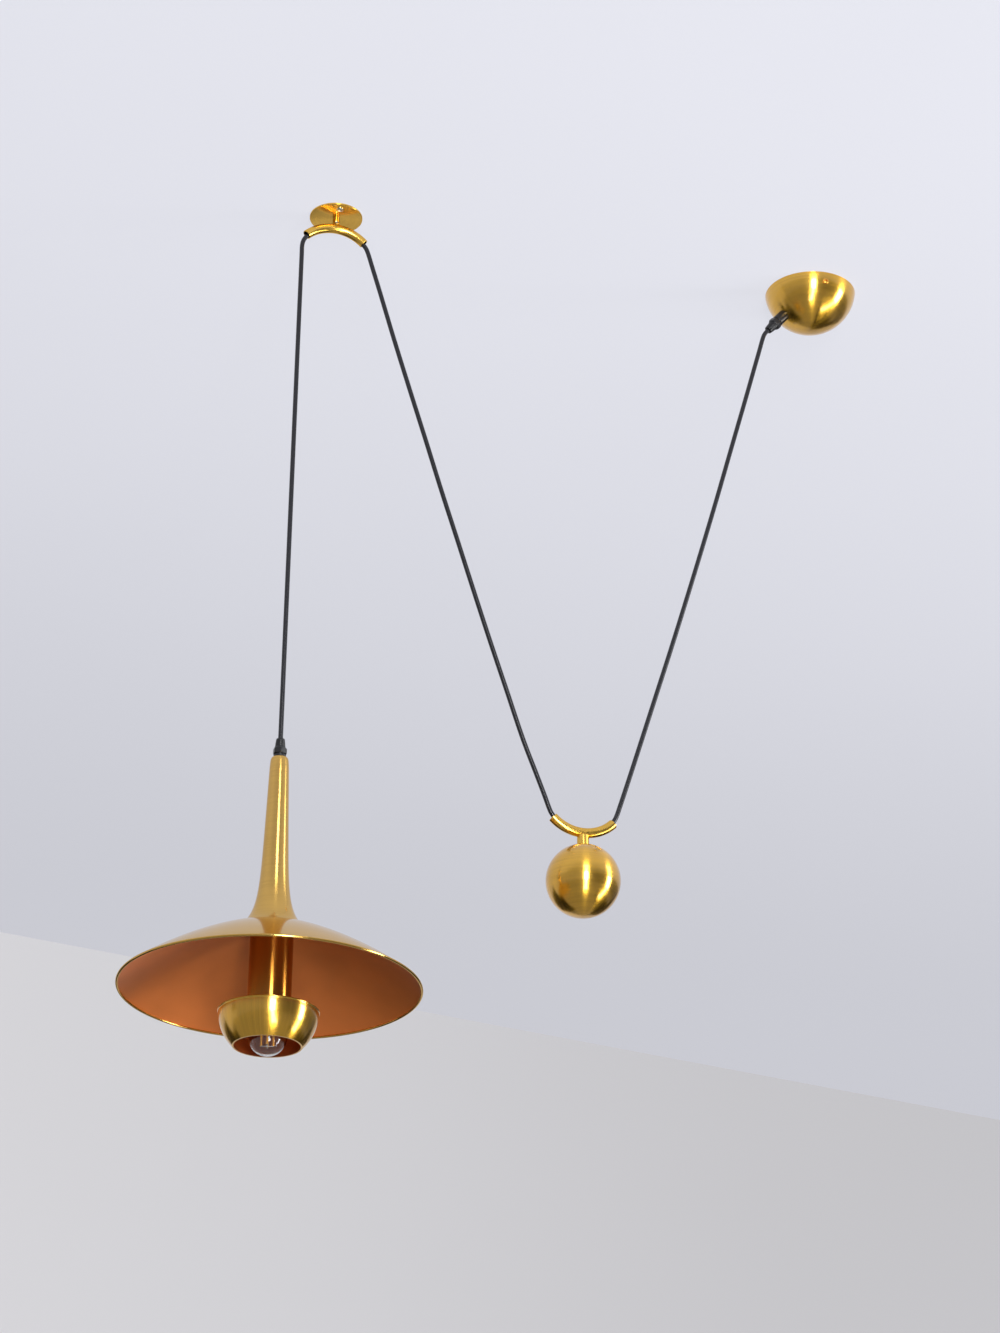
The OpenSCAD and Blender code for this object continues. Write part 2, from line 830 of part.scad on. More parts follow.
module holder_skirt_ring() {
    color("#1f1d1b")
    at_lamp(holder_bottom_z + 4)
        ring(inner_d / 2 - inner_wall - 0.1, holder_r + 0.1, 4);
}

collar_h = 8;
arm_w = 9;
arm_t = 1.5;
collar_r = inner_d / 2 + 2;

// Three arms from a collar on the inner tube out to the cup's wall
module cup_carrier() {
    wall_r = cup_r - cup_wall - 0.05;
    color("#b8964a")
    at_lamp(cup_top_z) {
        translate([0, 0, -collar_h])
            difference() {
                cylinder(r = collar_r, h = collar_h);
                translate([0, 0, -1]) cylinder(r = inner_d / 2 + 0.05, h = collar_h + 2);
                for (k = [0 : 2])
                    rotate([0, 0, 120 * k + 60])
                        translate([0, 0, collar_h / 2]) rotate([0, 90, 0])
                            cylinder(r = 1.5, h = collar_r + 5);
            }
        intersection() {
            for (k = [0 : 2])
                rotate([0, 0, 120 * k])
                    translate([collar_r - 1, -arm_w / 2, -arm_t - 3]) cube([cup_r, arm_w, arm_t]);
            sphere(r = wall_r);
        }
    }
}

module cup_set_screws() {
    color("#d2d4d6")
    at_lamp(cup_top_z - collar_h / 2)
        for (k = [0 : 2])
            rotate([0, 0, 120 * k + 60])
                translate([inner_d / 2 + 0.1, 0, 0]) rotate([0, 90, 0])
                    cylinder(r = 1.4, h = 2.6);
}

module cup() {
    color("#b39a3c")
    at_lamp(cup_top_z)
        difference() {
            union() {
                sphere(r = cup_r);
                translate([0, 0, -0.9])
                    rotate_extrude($fn = 120) translate([cup_r - 0.1, 0]) circle(r = 0.9, $fn = 16);
            }
            sphere(r = cup_r - cup_wall);
            cylinder(r = 2 * cup_r, h = 2 * cup_r);
            translate([0, 0, -cup_h - 2 * cup_r]) cylinder(r = 2 * cup_r, h = 2 * cup_r);
        }
}

// ---------------------------------------------------------------- bulb

glass_t = 0.8;
neck_r = 12.6;

// Outline of the bulb's glass: neck, shoulder curve and globe, for a given offset inwards
function glass_outline(inset) =
    let (
        r = globe_d / 2 - inset,
        n = neck_r - inset,
        top_a = 52,
        join = [r * cos(top_a), r * sin(top_a)]
    )
    concat(
        [for (a = [-90 : 6 : top_a]) [max(r * cos(a), 0), r * sin(a)]],
        [[join[0] - 0.6, join[1] + 0.9], [n + 0.25, join[1] + 3.4], [n, 24.8]]
    );

module bulb_globe() {
    outside = glass_outline(0);
    inside = glass_outline(glass_t);
    color("#e6eef2", 0.35)
    at_lamp(globe_z)
        rotate_extrude()
            polygon(concat(
                outside,
                [for (k = [len(inside) - 1 : -1 : 0]) inside[k]]
            ));
}

module bulb_cap() {
    color("#c8ccce")
    at_lamp(cap_bottom_z)
        rotate_extrude()
            polygon([
                [neck_r + 0.1, -1.5], [cap_r, -0.8], [cap_r, 19], [cap_r - 3, 22.6],
                [5.6, 22.6], [5.6, 21.8], [cap_r - 3.4, 21.8], [cap_r - 0.6, 18.6],
                [cap_r - 0.6, 0], [neck_r + 0.1, 0]
            ]);
}

module bulb_insulator() {
    color("#26262a")
    at_lamp(cap_bottom_z + 21.9)
        ring(5.5, 3.1, 2.4);
}

module bulb_contact() {
    color("#b9bcc0")
    at_lamp(cap_bottom_z + 22)
        cylinder(r1 = 3, r2 = 2.6, h = 2.8);
}

filament_r = 7;
filament_low = -10;
filament_len = 26;

module bulb_glass_stem() {
    color("#dfe8ec", 0.4)
    at_lamp(globe_z)
        rotate_extrude()
            polygon([
                [0, -2], [2.2, -1], [2.4, 14], [3.4, 20], [8, 23.6], [11.7, 24], [11.7, 24.8],
                [0, 24.8]
            ]);
}

module bulb_support_wires() {
    color("#9a9c9e")
    at_lamp(globe_z) {
        translate([0, 0, filament_low - 1.6]) cylinder(r = 0.5, h = -filament_low - 0.5);
        for (k = [0 : 3])
            rotate([0, 0, 90 * k - 15]) {
                translate([0, 0, filament_low - 1.2])
                    rotate([0, 90, 0]) cylinder(r = 0.4, h = filament_r + 0.6);
                translate([2.9, 0, filament_low + filament_len + 0.5])
                    rotate([0, 90, 0]) cylinder(r = 0.4, h = filament_r - 2.3);
            }
    }
}

module bulb_filaments() {
    color("#e0a640")
    at_lamp(globe_z)
        for (k = [0 : 3])
            rotate([0, 0, 90 * k - 15])
                translate([filament_r, 0, filament_low - 0.7])
                    cylinder(r = 0.9, h = filament_len + 0.7);
}

// ---------------------------------------------------------------- parts

canopy_shell();
canopy_crossbar();
canopy_side_screws();
canopy_gland_body();
canopy_gland_nut();
canopy_gland_locknut();
terminal_block();
terminal_screws();
terminal_block_screws();
canopy_cord_tail();
canopy_live_core();
canopy_neutral_core();
canopy_earth_core();
earth_screw();
hook_disc();
hook_disc_screws();
hook_post();
hook_post_screw();
hook_set_screw();
hook_tube();
cord_canopy_to_weight();
cord_weight_to_hook();
cord_hook_to_lamp();
weight_tube();
weight_neck();
weight_stud();
weight_ball();
lamp_gland_nut();
lamp_gland_body();
stem();
threaded_rod();
shade();
inner_tube();
tube_top_plate();
clamp_washer();
clamp_nut();
holder_body();
holder_shell();
holder_contact();
holder_wires();
holder_skirt_ring();
cup_carrier();
cup_set_screws();
cup();
lamp_cord_tail();
bulb_globe();
bulb_cap();
bulb_insulator();
bulb_contact();
bulb_glass_stem();
bulb_support_wires();
bulb_filaments();
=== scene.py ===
"""Finished looks of a rise and fall pendant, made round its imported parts."""

import math

import bmesh
import bpy
from bpy.props import FloatProperty, FloatVectorProperty, PointerProperty
from mathutils import Matrix, Vector
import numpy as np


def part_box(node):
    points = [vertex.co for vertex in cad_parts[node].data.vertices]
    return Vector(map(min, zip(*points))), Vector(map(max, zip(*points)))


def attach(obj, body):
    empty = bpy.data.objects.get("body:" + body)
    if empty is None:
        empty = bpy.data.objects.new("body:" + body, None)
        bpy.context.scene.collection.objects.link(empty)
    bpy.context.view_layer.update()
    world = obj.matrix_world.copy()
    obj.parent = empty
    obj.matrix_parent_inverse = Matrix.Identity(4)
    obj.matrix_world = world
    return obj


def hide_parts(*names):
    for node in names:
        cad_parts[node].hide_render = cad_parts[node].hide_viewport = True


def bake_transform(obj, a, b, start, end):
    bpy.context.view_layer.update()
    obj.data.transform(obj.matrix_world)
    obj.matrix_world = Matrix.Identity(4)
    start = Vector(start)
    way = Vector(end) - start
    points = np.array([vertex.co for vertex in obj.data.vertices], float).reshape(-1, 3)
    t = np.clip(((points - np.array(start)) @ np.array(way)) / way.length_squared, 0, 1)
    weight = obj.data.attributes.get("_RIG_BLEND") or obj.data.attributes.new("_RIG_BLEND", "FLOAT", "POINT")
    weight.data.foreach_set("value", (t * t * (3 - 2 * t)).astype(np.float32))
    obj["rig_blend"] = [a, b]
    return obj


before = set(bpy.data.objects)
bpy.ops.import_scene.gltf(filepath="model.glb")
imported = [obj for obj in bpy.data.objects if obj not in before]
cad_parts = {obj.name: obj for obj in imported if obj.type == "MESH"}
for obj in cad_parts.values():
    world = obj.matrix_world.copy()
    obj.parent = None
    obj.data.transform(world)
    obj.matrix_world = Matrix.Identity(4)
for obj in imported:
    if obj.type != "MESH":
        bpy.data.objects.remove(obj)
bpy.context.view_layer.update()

bl_info = {
    "name": "Rise and Fall Pendant",
    "version": (1, 0, 0),
    "blender": (4, 5, 0),
    "location": "3D View > Sidebar > Pendant",
    "description": "Brass pendant lamp hung by one cord over a ceiling hook and a counterweight",
    "category": "Add Mesh",
}

MM = 0.001
UP = Vector((0, 0, 1))
SHARP_ANGLE = math.radians(35)
POLE_R = 1e-7

# ---------------------------------------------------------------- places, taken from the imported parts


def middle_of(node):
    """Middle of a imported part's box"""
    low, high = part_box(node)
    return (low + high) / 2


HOOK_X = middle_of("hook_disc").x
LAMP_X = middle_of("inner_tube").x
WEIGHT_X = middle_of("weight_ball").x

CANOPY_RIM_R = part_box("canopy_shell")[1].x
CANOPY_DEPTH = -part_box("canopy_shell")[0].z
CANOPY_R = (CANOPY_RIM_R**2 + CANOPY_DEPTH**2) / (2 * CANOPY_DEPTH)
CANOPY_CENTRE = Vector((0, 0, CANOPY_R - CANOPY_DEPTH))
SIDE_SCREW_Z = middle_of("canopy_side_screws").z
GLAND_TIP = Vector((-62, 0, -65.5)) * MM
GLAND_WAY = (GLAND_TIP - CANOPY_CENTRE).normalized()

TUBE_R = 6 * MM
TUBE_BEND = 52.5 * MM
TUBE_HALF_ANGLE = math.radians(46)
HOOK_TUBE_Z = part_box("hook_tube")[1].z - TUBE_R
WEIGHT_TUBE_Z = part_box("weight_tube")[0].z + TUBE_R
DISC_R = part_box("hook_disc")[1].x - HOOK_X
DISC_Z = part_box("hook_disc")[0].z
SET_SCREW_Z = middle_of("hook_set_screw").z
BALL_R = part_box("weight_ball")[1].y
BALL_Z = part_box("weight_ball")[0].z + BALL_R

LAMP_TIP_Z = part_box("lamp_gland_nut")[1].z
STEM_TOP_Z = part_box("stem")[1].z
STEM_H = STEM_TOP_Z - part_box("stem")[0].z
SHADE_LOW_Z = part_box("shade")[0].z
SHADE_WIDE_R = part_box("shade")[1].y
INNER_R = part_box("inner_tube")[1].y
INNER_LOW_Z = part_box("inner_tube")[0].z
INNER_TOP_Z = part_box("inner_tube")[1].z
CUP_TOP_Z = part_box("cup")[1].z
CUP_H = CUP_TOP_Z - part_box("cup")[0].z
GLOBE_LOW_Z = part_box("bulb_globe")[0].z
GLOBE_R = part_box("bulb_globe")[1].y
GLOBE_Z = GLOBE_LOW_Z + GLOBE_R

# The cord's route in millimetres, seen from the front as (x, z), in three free stretches
CANOPY_TO_WEIGHT = [
    (-62, -65.5), (-64.6, -68.6), (-67.8, -74), (-70.5, -82), (-74, -95), (-82, -124),
    (-97, -178.5), (-117, -250), (-140.5, -334.5), (-165, -420), (-188.5, -500), (-208, -565),
    (-228, -630), (-249.5, -700), (-265, -750), (-274.5, -780), (-278.5, -792), (-281, -797.5),
    (-284.5, -802), (-292, -808.5), (-301, -813.5), (-311, -816.5), (-318, -817.5),
    (-321, -817.5),
]
WEIGHT_TO_HOOK = [
    (-321, -817.5), (-324, -817.5), (-331, -816.5), (-341, -813.5), (-350, -808.5),
    (-357.5, -802), (-361, -797.5), (-363.5, -792), (-369, -777), (-380, -748.5), (-396.5, -706),
    (-418, -642.5), (-440, -577.5), (-461.5, -512), (-483, -445.5), (-505, -378),
    (-526.5, -309.5), (-548.5, -240.5), (-570.5, -170.5), (-592, -99.5), (-601, -70.5),
    (-609, -45), (-611.5, -39.5), (-615.5, -34.5), (-623, -28), (-632, -23), (-642, -20),
    (-649, -19), (-652, -19),
]
HOOK_TO_LAMP = [
    (-652, -19), (-655, -19), (-662, -20), (-672, -23), (-681, -28), (-688.5, -34.5),
    (-692, -39.5), (-694, -44.5), (-695, -51), (-695, -64), (-695, -100), (-695, -180),
    (-695, -260), (-695, -340), (-695, -420), (-695, -500), (-695, -580), (-695, -660),
    (-695, -720), (LAMP_X / MM, LAMP_TIP_Z / MM),
]

# ---------------------------------------------------------------- sizes and colours a user may change


def linear(hex_code):
    """Linear colour of an sRGB hex code"""
    out = []
    for k in (1, 3, 5):
        c = int(hex_code[k : k + 2], 16) / 255
        out.append(c / 12.92 if c <= 0.04045 else ((c + 0.055) / 1.055) ** 2.4)
    return tuple(out)


def length(name, description, default, low, high):
    """A length setting, given in millimetres"""
    return FloatProperty(
        name=name, description=description, default=default * MM, min=low * MM, max=high * MM,
        unit="LENGTH", precision=4,
    )


def colour(name, description, hex_code):
    """A colour setting, given as an sRGB hex code"""
    return FloatVectorProperty(
        name=name, description=description, default=linear(hex_code), size=3, min=0, max=1,
        subtype="COLOR",
    )


class PENDANT_PG_sizes(bpy.types.PropertyGroup):
    """Sizes of what Blender shapes"""

    cord: length("Cord", "Diameter of the round cord", 5.8, 5, 6)
    canopy_wall: length("Canopy wall", "Thickness of the canopy's metal", 1.0, 0.6, 2)
    tube_bore: length("Tube bore", "Bore of the two curved tubes", 10, 9, 11)
    shade_metal: length("Shade metal", "Thickness of the shade's spun metal", 1.2, 0.8, 1.5)
    rim_bead: length("Rim bead", "Diameter of the bead rolled round the shade's rim", 3.2, 2, 3.4)
    cup_wall: length("Cup wall", "Thickness of the cup's metal", 1.2, 0.8, 1.4)
    glass_wall: length("Bulb glass", "Thickness of the bulb's glass", 0.8, 0.5, 1.2)
    brush_pitch: length("Brush pitch", "Spacing of the brushed lines as drawn", 1.4, 0.2, 4)


class PENDANT_PG_colours(bpy.types.PropertyGroup):
    """Colours of the finishes"""

    brushed: colour("Brushed brass", "Canopy, ball and cup", "#E2AF3C")
    satin: colour("Satin brass", "Stem and outside of the shade", "#D3A956")
    # Brass darkened as painted shade, for the tube that stands inside the lampshade
    tube: colour("Drawn tube", "Tube inside the shade", "#B4782E")
    polished: colour("Polished brass", "Curved tubes, neck, disc and post", "#EABB55")
    lining: colour("Copper lacquer", "Inside of the shade", "#DA7C3C")
    # Painted shade: the lacquer's colour darkened for the inside of the cup
    cup_lining_painted_shade: colour("Cup lacquer", "Inside of the cup", "#A04C1C")
    black: colour("Black nylon", "Cord glands and lampholder", "#0D0D10")
    sheath: colour("Cord sheath", "Sheath of the cord", "#0C0C12")
    ceiling: colour("Ceiling", "Paint of ceiling and wall", "#E6E7F0")
    floor: colour("Floor", "Pale floor", "#E6E4E0")


# ---------------------------------------------------------------- mesh helpers


def finish_mesh(name, bm, origin, finishes):
    """Turns a bmesh, built round the origin point, into a smooth-shaded object placed there"""
    bmesh.ops.recalc_face_normals(bm, faces=bm.faces)
    mesh = bpy.data.meshes.new(name)
    bm.to_mesh(mesh)
    bm.free()
    mesh.shade_smooth()
    mesh.set_sharp_from_angle(angle=SHARP_ANGLE)
    for finish in finishes:
        mesh.materials.append(material(finish))
    piece = bpy.data.objects.new(name, mesh)
    piece.location = origin
    bpy.context.scene.collection.objects.link(piece)
    bpy.context.view_layer.update()
    return piece


def ring_points(centre, along, radius, sides):
    """Points of a circle round centre, square to along. radius may be a function of the angle."""
    along = Vector(along).normalized()
    guide = Vector((0, 1, 0)) if abs(along.y) < 0.9 else Vector((1, 0, 0))
    side = guide.cross(along).normalized()
    up = along.cross(side)
    points = []
    for k in range(sides):
        a = math.tau * k / sides
        r = radius(a) if callable(radius) else radius
        points.append(Vector(centre) + r * (math.cos(a) * side + math.sin(a) * up))
    return points


def skin(bm, rings, sides, ends, paint=lambda strip: 0):
    """Joins rings, each (centre, along, radius), into a skin. A radius below POLE_R is one point.
    ends is "loop" where the last ring meets the first, "caps" or "open"."""
    rows = []
    for centre, along, radius in rings:
        if not callable(radius) and radius < POLE_R:
            rows.append([bm.verts.new(centre)])
        else:
            rows.append([bm.verts.new(p) for p in ring_points(centre, along, radius, sides)])
    pairs = list(zip(rows, rows[1:]))
    if ends == "loop":
        pairs.append((rows[-1], rows[0]))
    for strip, (a, b) in enumerate(pairs):
        for k in range(sides):
            n = (k + 1) % sides
            corners = [a[k % len(a)], a[n % len(a)], b[n % len(b)], b[k % len(b)]]
            corners = list(dict.fromkeys(corners))
            if len(corners) > 2:
                bm.faces.new(corners).material_index = paint(strip)
    if ends == "caps":
        bm.faces.new(rows[0])
        bm.faces.new(rows[-1])


def turned(name, outline, origin, finishes, sides=192, paint=lambda strip: 0):
    """A part turned on a lathe: outline is the closed section's (radius, height) points in
    metres round the origin"""
    bm = bmesh.new()
    skin(bm, [((0, 0, z), UP, r) for r, z in outline], sides, "loop", paint)
    return finish_mesh(name, bm, origin, finishes)


def arc(centre_r, centre_z, radius, start, end, steps):
    """Points of an arc in the (radius, height) plane, angles in degrees"""
    turn = [math.radians(start + (end - start) * k / steps) for k in range(steps + 1)]
    return [(centre_r + radius * math.cos(a), centre_z + radius * math.sin(a)) for a in turn]


def between(a, b, t, low, high):
    """Point on the line a to b, where t runs from low to high"""
    return a + (b - a) * ((t - low) / (high - low))


def smooth_line(points, step):
    """Points about a step apart on the smooth curve through the given points: a Catmull-Rom
    curve with centripetal knots, which doesn't overshoot where the points crowd"""
    padded = [2 * points[0] - points[1], *points, 2 * points[-1] - points[-2]]
    line = []
    for a, b, c, d in zip(padded, padded[1:], padded[2:], padded[3:]):
        k0 = 0.0
        k1 = k0 + math.sqrt((b - a).length)
        k2 = k1 + math.sqrt((c - b).length)
        k3 = k2 + math.sqrt((d - c).length)
        count = max(1, round((c - b).length / step))
        for k in range(count):
            t = k1 + (k2 - k1) * k / count
            ab, bc, cd = between(a, b, t, k0, k1), between(b, c, t, k1, k2), between(c, d, t, k2, k3)
            left, right = between(ab, bc, t, k0, k2), between(bc, cd, t, k1, k3)
            line.append(between(left, right, t, k1, k2))
    line.append(points[-1])
    return line


def directions(line):
    """Direction of a line of points at each of them"""
    last = len(line) - 1
    return [(line[min(k + 1, last)] - line[max(k - 1, 0)]).normalized() for k in range(last + 1)]


def swept(name, line, radius, sides, finishes, bore=0.0):
    """A round rod along a line of points, or a tube if it has a bore radius"""
    bm = bmesh.new()
    ways = directions(line)
    rings = [(p, w, radius) for p, w in zip(line, ways)]
    if bore:
        rings += [(p, w, bore) for p, w in reversed(list(zip(line, ways)))]
    skin(bm, rings, sides, "loop" if bore else "caps")
    return finish_mesh(name, bm, (0, 0, 0), finishes)


def carve(piece, cutters):
    """Cuts the cutters out of a piece and removes them"""
    for cutter in cutters:
        cut = piece.modifiers.new("cut", "BOOLEAN")
        cut.operation = "DIFFERENCE"
        cut.solver = "EXACT"
        cut.object = cutter
    bpy.context.view_layer.update()
    carved = bpy.data.meshes.new_from_object(
        piece.evaluated_get(bpy.context.evaluated_depsgraph_get())
    )
    piece.modifiers.clear()
    piece.data = carved
    carved.shade_smooth()
    carved.set_sharp_from_angle(angle=SHARP_ANGLE)
    for cutter in cutters:
        bpy.data.objects.remove(cutter)
    return piece


def drill(at, along, radius, depth):
    """Cutter for a round hole from a point along a direction"""
    bm = bmesh.new()
    way = Vector(along).normalized()
    skin(bm, [((0, 0, 0), way, radius), (way * depth, way, radius)], 48, "caps")
    return finish_mesh("drill", bm, at, [])


def aim(piece, way):
    """Turns a piece so that its own +Z points along a direction"""
    piece.rotation_mode = "QUATERNION"
    piece.rotation_quaternion = Vector(way).to_track_quat("Z", "Y")
    bpy.context.view_layer.update()
    return piece


def place(piece, body, slot, *nodes):
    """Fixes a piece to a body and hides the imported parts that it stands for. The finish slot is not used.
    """
    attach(piece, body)
    if nodes:
        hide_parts(*nodes)
    return piece


# ---------------------------------------------------------------- finishes


def add(tree, kind, inputs=None, **settings):
    """Adds a node with its settings, and sets or links its inputs"""
    node = tree.nodes.new(kind)
    for key, value in settings.items():
        setattr(node, key, value)
    for key, value in (inputs or {}).items():
        if isinstance(value, bpy.types.NodeSocket):
            tree.links.new(value, node.inputs[key])
        else:
            node.inputs[key].default_value = value
    return node


def start(name, constants):
    """A new material, its tree and its shader with constant inputs set"""
    made = bpy.data.materials.new(name)
    made.use_nodes = True
    tree = made.node_tree
    shader = tree.nodes["Principled BSDF"]
    for key, value in constants.items():
        shader.inputs[key].default_value = value
    return made, tree, shader


def chosen(key):
    """A colour from the user's settings, with alpha"""
    return (*getattr(bpy.context.scene.pendant_colours, key), 1.0)


def shade_of(rgba, factor):
    """A colour made darker or paler, with alpha"""
    return (*(min(1.0, c * factor) for c in rgba[:3]), 1.0)


def way_round(tree):
    """Where a point lies round the part's Z axis, as a unit vector and in full length, and the
    point itself"""
    place_in = add(tree, "ShaderNodeTexCoord").outputs["Object"]
    flat = add(tree, "ShaderNodeVectorMath", {0: place_in, 1: (1, 1, 0)}, operation="MULTIPLY")
    way = add(tree, "ShaderNodeVectorMath", {0: flat.outputs[0]}, operation="NORMALIZE")
    return way.outputs[0], flat.outputs[0], place_in


def tool_lines(tree, pitch):
    """Noise drawn out round the part's Z axis, as a tool or a brush leaves it on the lathe"""
    wander = 0.4
    way, flat, place_in = way_round(tree)
    radius = add(tree, "ShaderNodeVectorMath", {0: flat}, operation="LENGTH").outputs["Value"]
    way = add(tree, "ShaderNodeSeparateXYZ", {0: way})
    height = add(tree, "ShaderNodeSeparateXYZ", {0: place_in}).outputs["Z"]
    where = add(tree, "ShaderNodeCombineXYZ", {0: radius, 1: height, 2: way.outputs["X"]})
    scaled = add(tree, "ShaderNodeVectorMath", {
        0: where.outputs[0], 1: (1 / pitch, 1 / pitch, wander),
    }, operation="MULTIPLY")
    drift = add(tree, "ShaderNodeMath", {0: way.outputs["Y"], 1: wander}, operation="MULTIPLY")
    noise = add(tree, "ShaderNodeTexNoise", {
        "Vector": scaled.outputs[0], "W": drift.outputs[0], "Scale": 1.0, "Detail": 1.0,
    }, noise_dimensions="4D")
    return noise.outputs["Fac"]


def upright_streaks(tree, pitch):
    """Noise that changes only round the part's Z axis, drawn as faint upright streaks"""
    radius = 45 * MM
    way = way_round(tree)[0]
    noise = add(tree, "ShaderNodeTexNoise", {"Vector": way, "Scale": radius / pitch, "Detail": 2.0})
    return noise.outputs["Fac"]


def grain(tree, size, detail=3.0, rough=0.5):
    """Even noise, its spots about size metres apart"""
    place_in = add(tree, "ShaderNodeTexCoord").outputs["Object"]
    noise = add(tree, "ShaderNodeTexNoise", {
        "Vector": place_in, "Scale": 1 / size, "Detail": detail, "Roughness": rough,
    })
    return noise.outputs["Fac"]


def vary(tree, shader, tones=None, gloss=None, relief=None):
    """Lets noise, most of which lies between 0.3 and 0.7, vary a surface: tones is (noise, dark
    colour, pale colour), gloss is (noise, low, high) and relief is (noise, depth, strength)"""
    usual = {"From Min": 0.3, "From Max": 0.7}
    if tones:
        noise, dark, pale = tones
        mask = add(tree, "ShaderNodeMapRange", {"Value": noise, **usual}).outputs["Result"]
        tint = add(tree, "ShaderNodeMix", {0: mask, 6: dark, 7: pale}, data_type="RGBA")
        tree.links.new(tint.outputs[2], shader.inputs["Base Color"])
    if gloss:
        noise, low, high = gloss
        spread = add(tree, "ShaderNodeMapRange", {
            "Value": noise, **usual, "To Min": low, "To Max": high,
        })
        tree.links.new(spread.outputs["Result"], shader.inputs["Roughness"])
    if relief:
        noise, depth, strength = relief
        rough = add(tree, "ShaderNodeBump", {
            "Height": noise, "Distance": depth, "Strength": strength,
        })
        tree.links.new(rough.outputs["Normal"], shader.inputs["Normal"])


# Brass stays golden at its grazing edge, where a plain metal turns white
EDGE_OF_BRASS = (*linear("#FBF0DC"), 1.0)


def turned_metal(name, base, roughness, anisotropy, lines, coat, marks=tool_lines):
    """Metal finished on the lathe. Fine lines run round the axis, so highlights are drawn out
    along the part's length. The lines are drawn coarser than the real ones, so that they show."""
    made, tree, shader = start(name, {
        "Metallic": 1.0, "Anisotropic": anisotropy, "Anisotropic Rotation": 0.25,
        "Coat Weight": coat, "Coat Roughness": 0.12, "Specular Tint": EDGE_OF_BRASS,
    })
    fine = marks(tree, bpy.context.scene.pendant_sizes.brush_pitch)
    cloud = grain(tree, 45 * MM, 2.0)
    both = add(tree, "ShaderNodeMix", {0: 0.35, 2: fine, 3: cloud}).outputs[0]
    vary(
        tree, shader, tones=(both, shade_of(base, 1 - lines), shade_of(base, 1 + lines)),
        gloss=(fine, roughness * (1 - lines / 2), roughness * (1 + lines / 2)),
    )
    around = add(tree, "ShaderNodeTangent", direction_type="RADIAL", axis="Z")
    tree.links.new(around.outputs[0], shader.inputs["Tangent"])
    return made


def brushed_brass(name):
    """Brass brushed on the lathe, then lacquered: long streaks of light between dark bands."""
    return turned_metal(
        name, chosen("brushed"), roughness=0.25, anisotropy=0.86, lines=0.13, coat=0.9,
    )


def wiped_brushed_brass(name):
    """The same brass on the cup, with faint upright streaks of tone and gloss."""
    return turned_metal(
        name, chosen("brushed"), roughness=0.25, anisotropy=0.86, lines=0.18, coat=0.9,
        marks=upright_streaks,
    )


def spun_satin_brass(name):
    """Spun brass stem under satin lacquer: narrow lights from end to end."""
    return turned_metal(
        name, chosen("satin"), roughness=0.15, anisotropy=0.92, lines=0.06, coat=0.45,
    )


def spun_bright_brass(name):
    """Spun brass of the shade's outside, smoother, which mirrors the foot of the stem."""
    return turned_metal(
        name, chosen("satin"), roughness=0.1, anisotropy=0.0, lines=0.04, coat=0.2,
    )


def turned_brass_face(name):
    """Faced brass disc. Its rings of tool marks open reflections into a bow-tie."""
    return turned_metal(
        name, chosen("polished"), roughness=0.24, anisotropy=0.9, lines=0.08, coat=0.1,
    )


def drawn_brass_tube(name):
    """Drawn brass tube, polished round its axis: narrow lights along its whole length. Its colour is brass
    darkened as painted shade from the lampshade round it.
    """
    return turned_metal(
        name, chosen("tube"), roughness=0.26, anisotropy=0.95, lines=0.04, coat=0.1,
    )


def polished_brass(name):
    """Bent tube and turned brass, polished. It mirrors the room with a slight haze."""
    made, tree, shader = start(name, {"Metallic": 1.0, "Specular Tint": EDGE_OF_BRASS})
    haze, base = grain(tree, 3 * MM), chosen("polished")
    vary(
        tree, shader, tones=(grain(tree, 25 * MM, 2.0), shade_of(base, 0.9), base),
        gloss=(haze, 0.18, 0.26), relief=(haze, 0.01 * MM, 0.3),
    )
    return made


def copper_lacquer(name, key="lining"):
    """Copper-coloured satin lacquer, sprayed. Its flakes scatter light almost as paint does, so it
    glows where light falls in and goes brown in the shade."""
    made, tree, shader = start(name, {"Metallic": 0.35})
    spray, base = grain(tree, 1.2 * MM, 4.0, 0.7), chosen(key)
    vary(
        tree, shader, tones=(grain(tree, 60 * MM, 2.0), shade_of(base, 0.92), shade_of(base, 1.05)),
        gloss=(spray, 0.42, 0.5), relief=(spray, 0.02 * MM, 0.4),
    )
    return made


def dark_copper_lacquer(name):
    """The same lacquer inside the cup, its colour darkened as painted shade."""
    return copper_lacquer(name, "cup_lining_painted_shade")


def moulded(name, base, roughness, texture, depth):
    """Injection-moulded plastic with an eroded mould texture, whose grains catch small glints."""
    made, tree, shader = start(name, {"IOR": 1.53})
    cloud = grain(tree, 12 * MM, 2.0)
    vary(
        tree, shader, tones=(cloud, shade_of(base, 0.85), shade_of(base, 1.2)),
        gloss=(cloud, roughness * 0.9, roughness * 1.1),
        relief=(grain(tree, texture, 3.0, 0.6), depth, 0.6),
    )
    return made


def moulded_black_nylon(name):
    """Black polyamide, moulded: dark, with a broad soft sheen."""
    return moulded(name, chosen("black"), roughness=0.32, texture=0.5 * MM, depth=0.04 * MM)


def extruded_black_pvc(name):
    """Black PVC sheath, extruded: smoother than the glands, with one soft line of light."""
    return moulded(name, chosen("sheath"), roughness=0.24, texture=1.5 * MM, depth=0.03 * MM)


def moulded_white_nylon(name):
    """Natural polyamide of a terminal block: milky and slightly see-through."""
    white = (*linear("#E8E6DC"), 1.0)
    made = moulded(name, white, roughness=0.35, texture=0.8 * MM, depth=0.02 * MM)
    shader = made.node_tree.nodes["Principled BSDF"]
    shader.inputs["Subsurface Weight"].default_value = 0.3
    shader.inputs["Subsurface Scale"].default_value = 2 * MM
    return made


CORE_HUES = {"brown_pvc": "#6B3F22", "blue_pvc": "#2A5FAF", "green_pvc": "#5E9A2C"}


def core_pvc(name):
    """PVC insulation of a wire, extruded: smooth and a little glossy."""
    hue = (*linear(CORE_HUES[name]), 1.0)
    return moulded(name, hue, roughness=0.3, texture=1.0 * MM, depth=0.01 * MM)


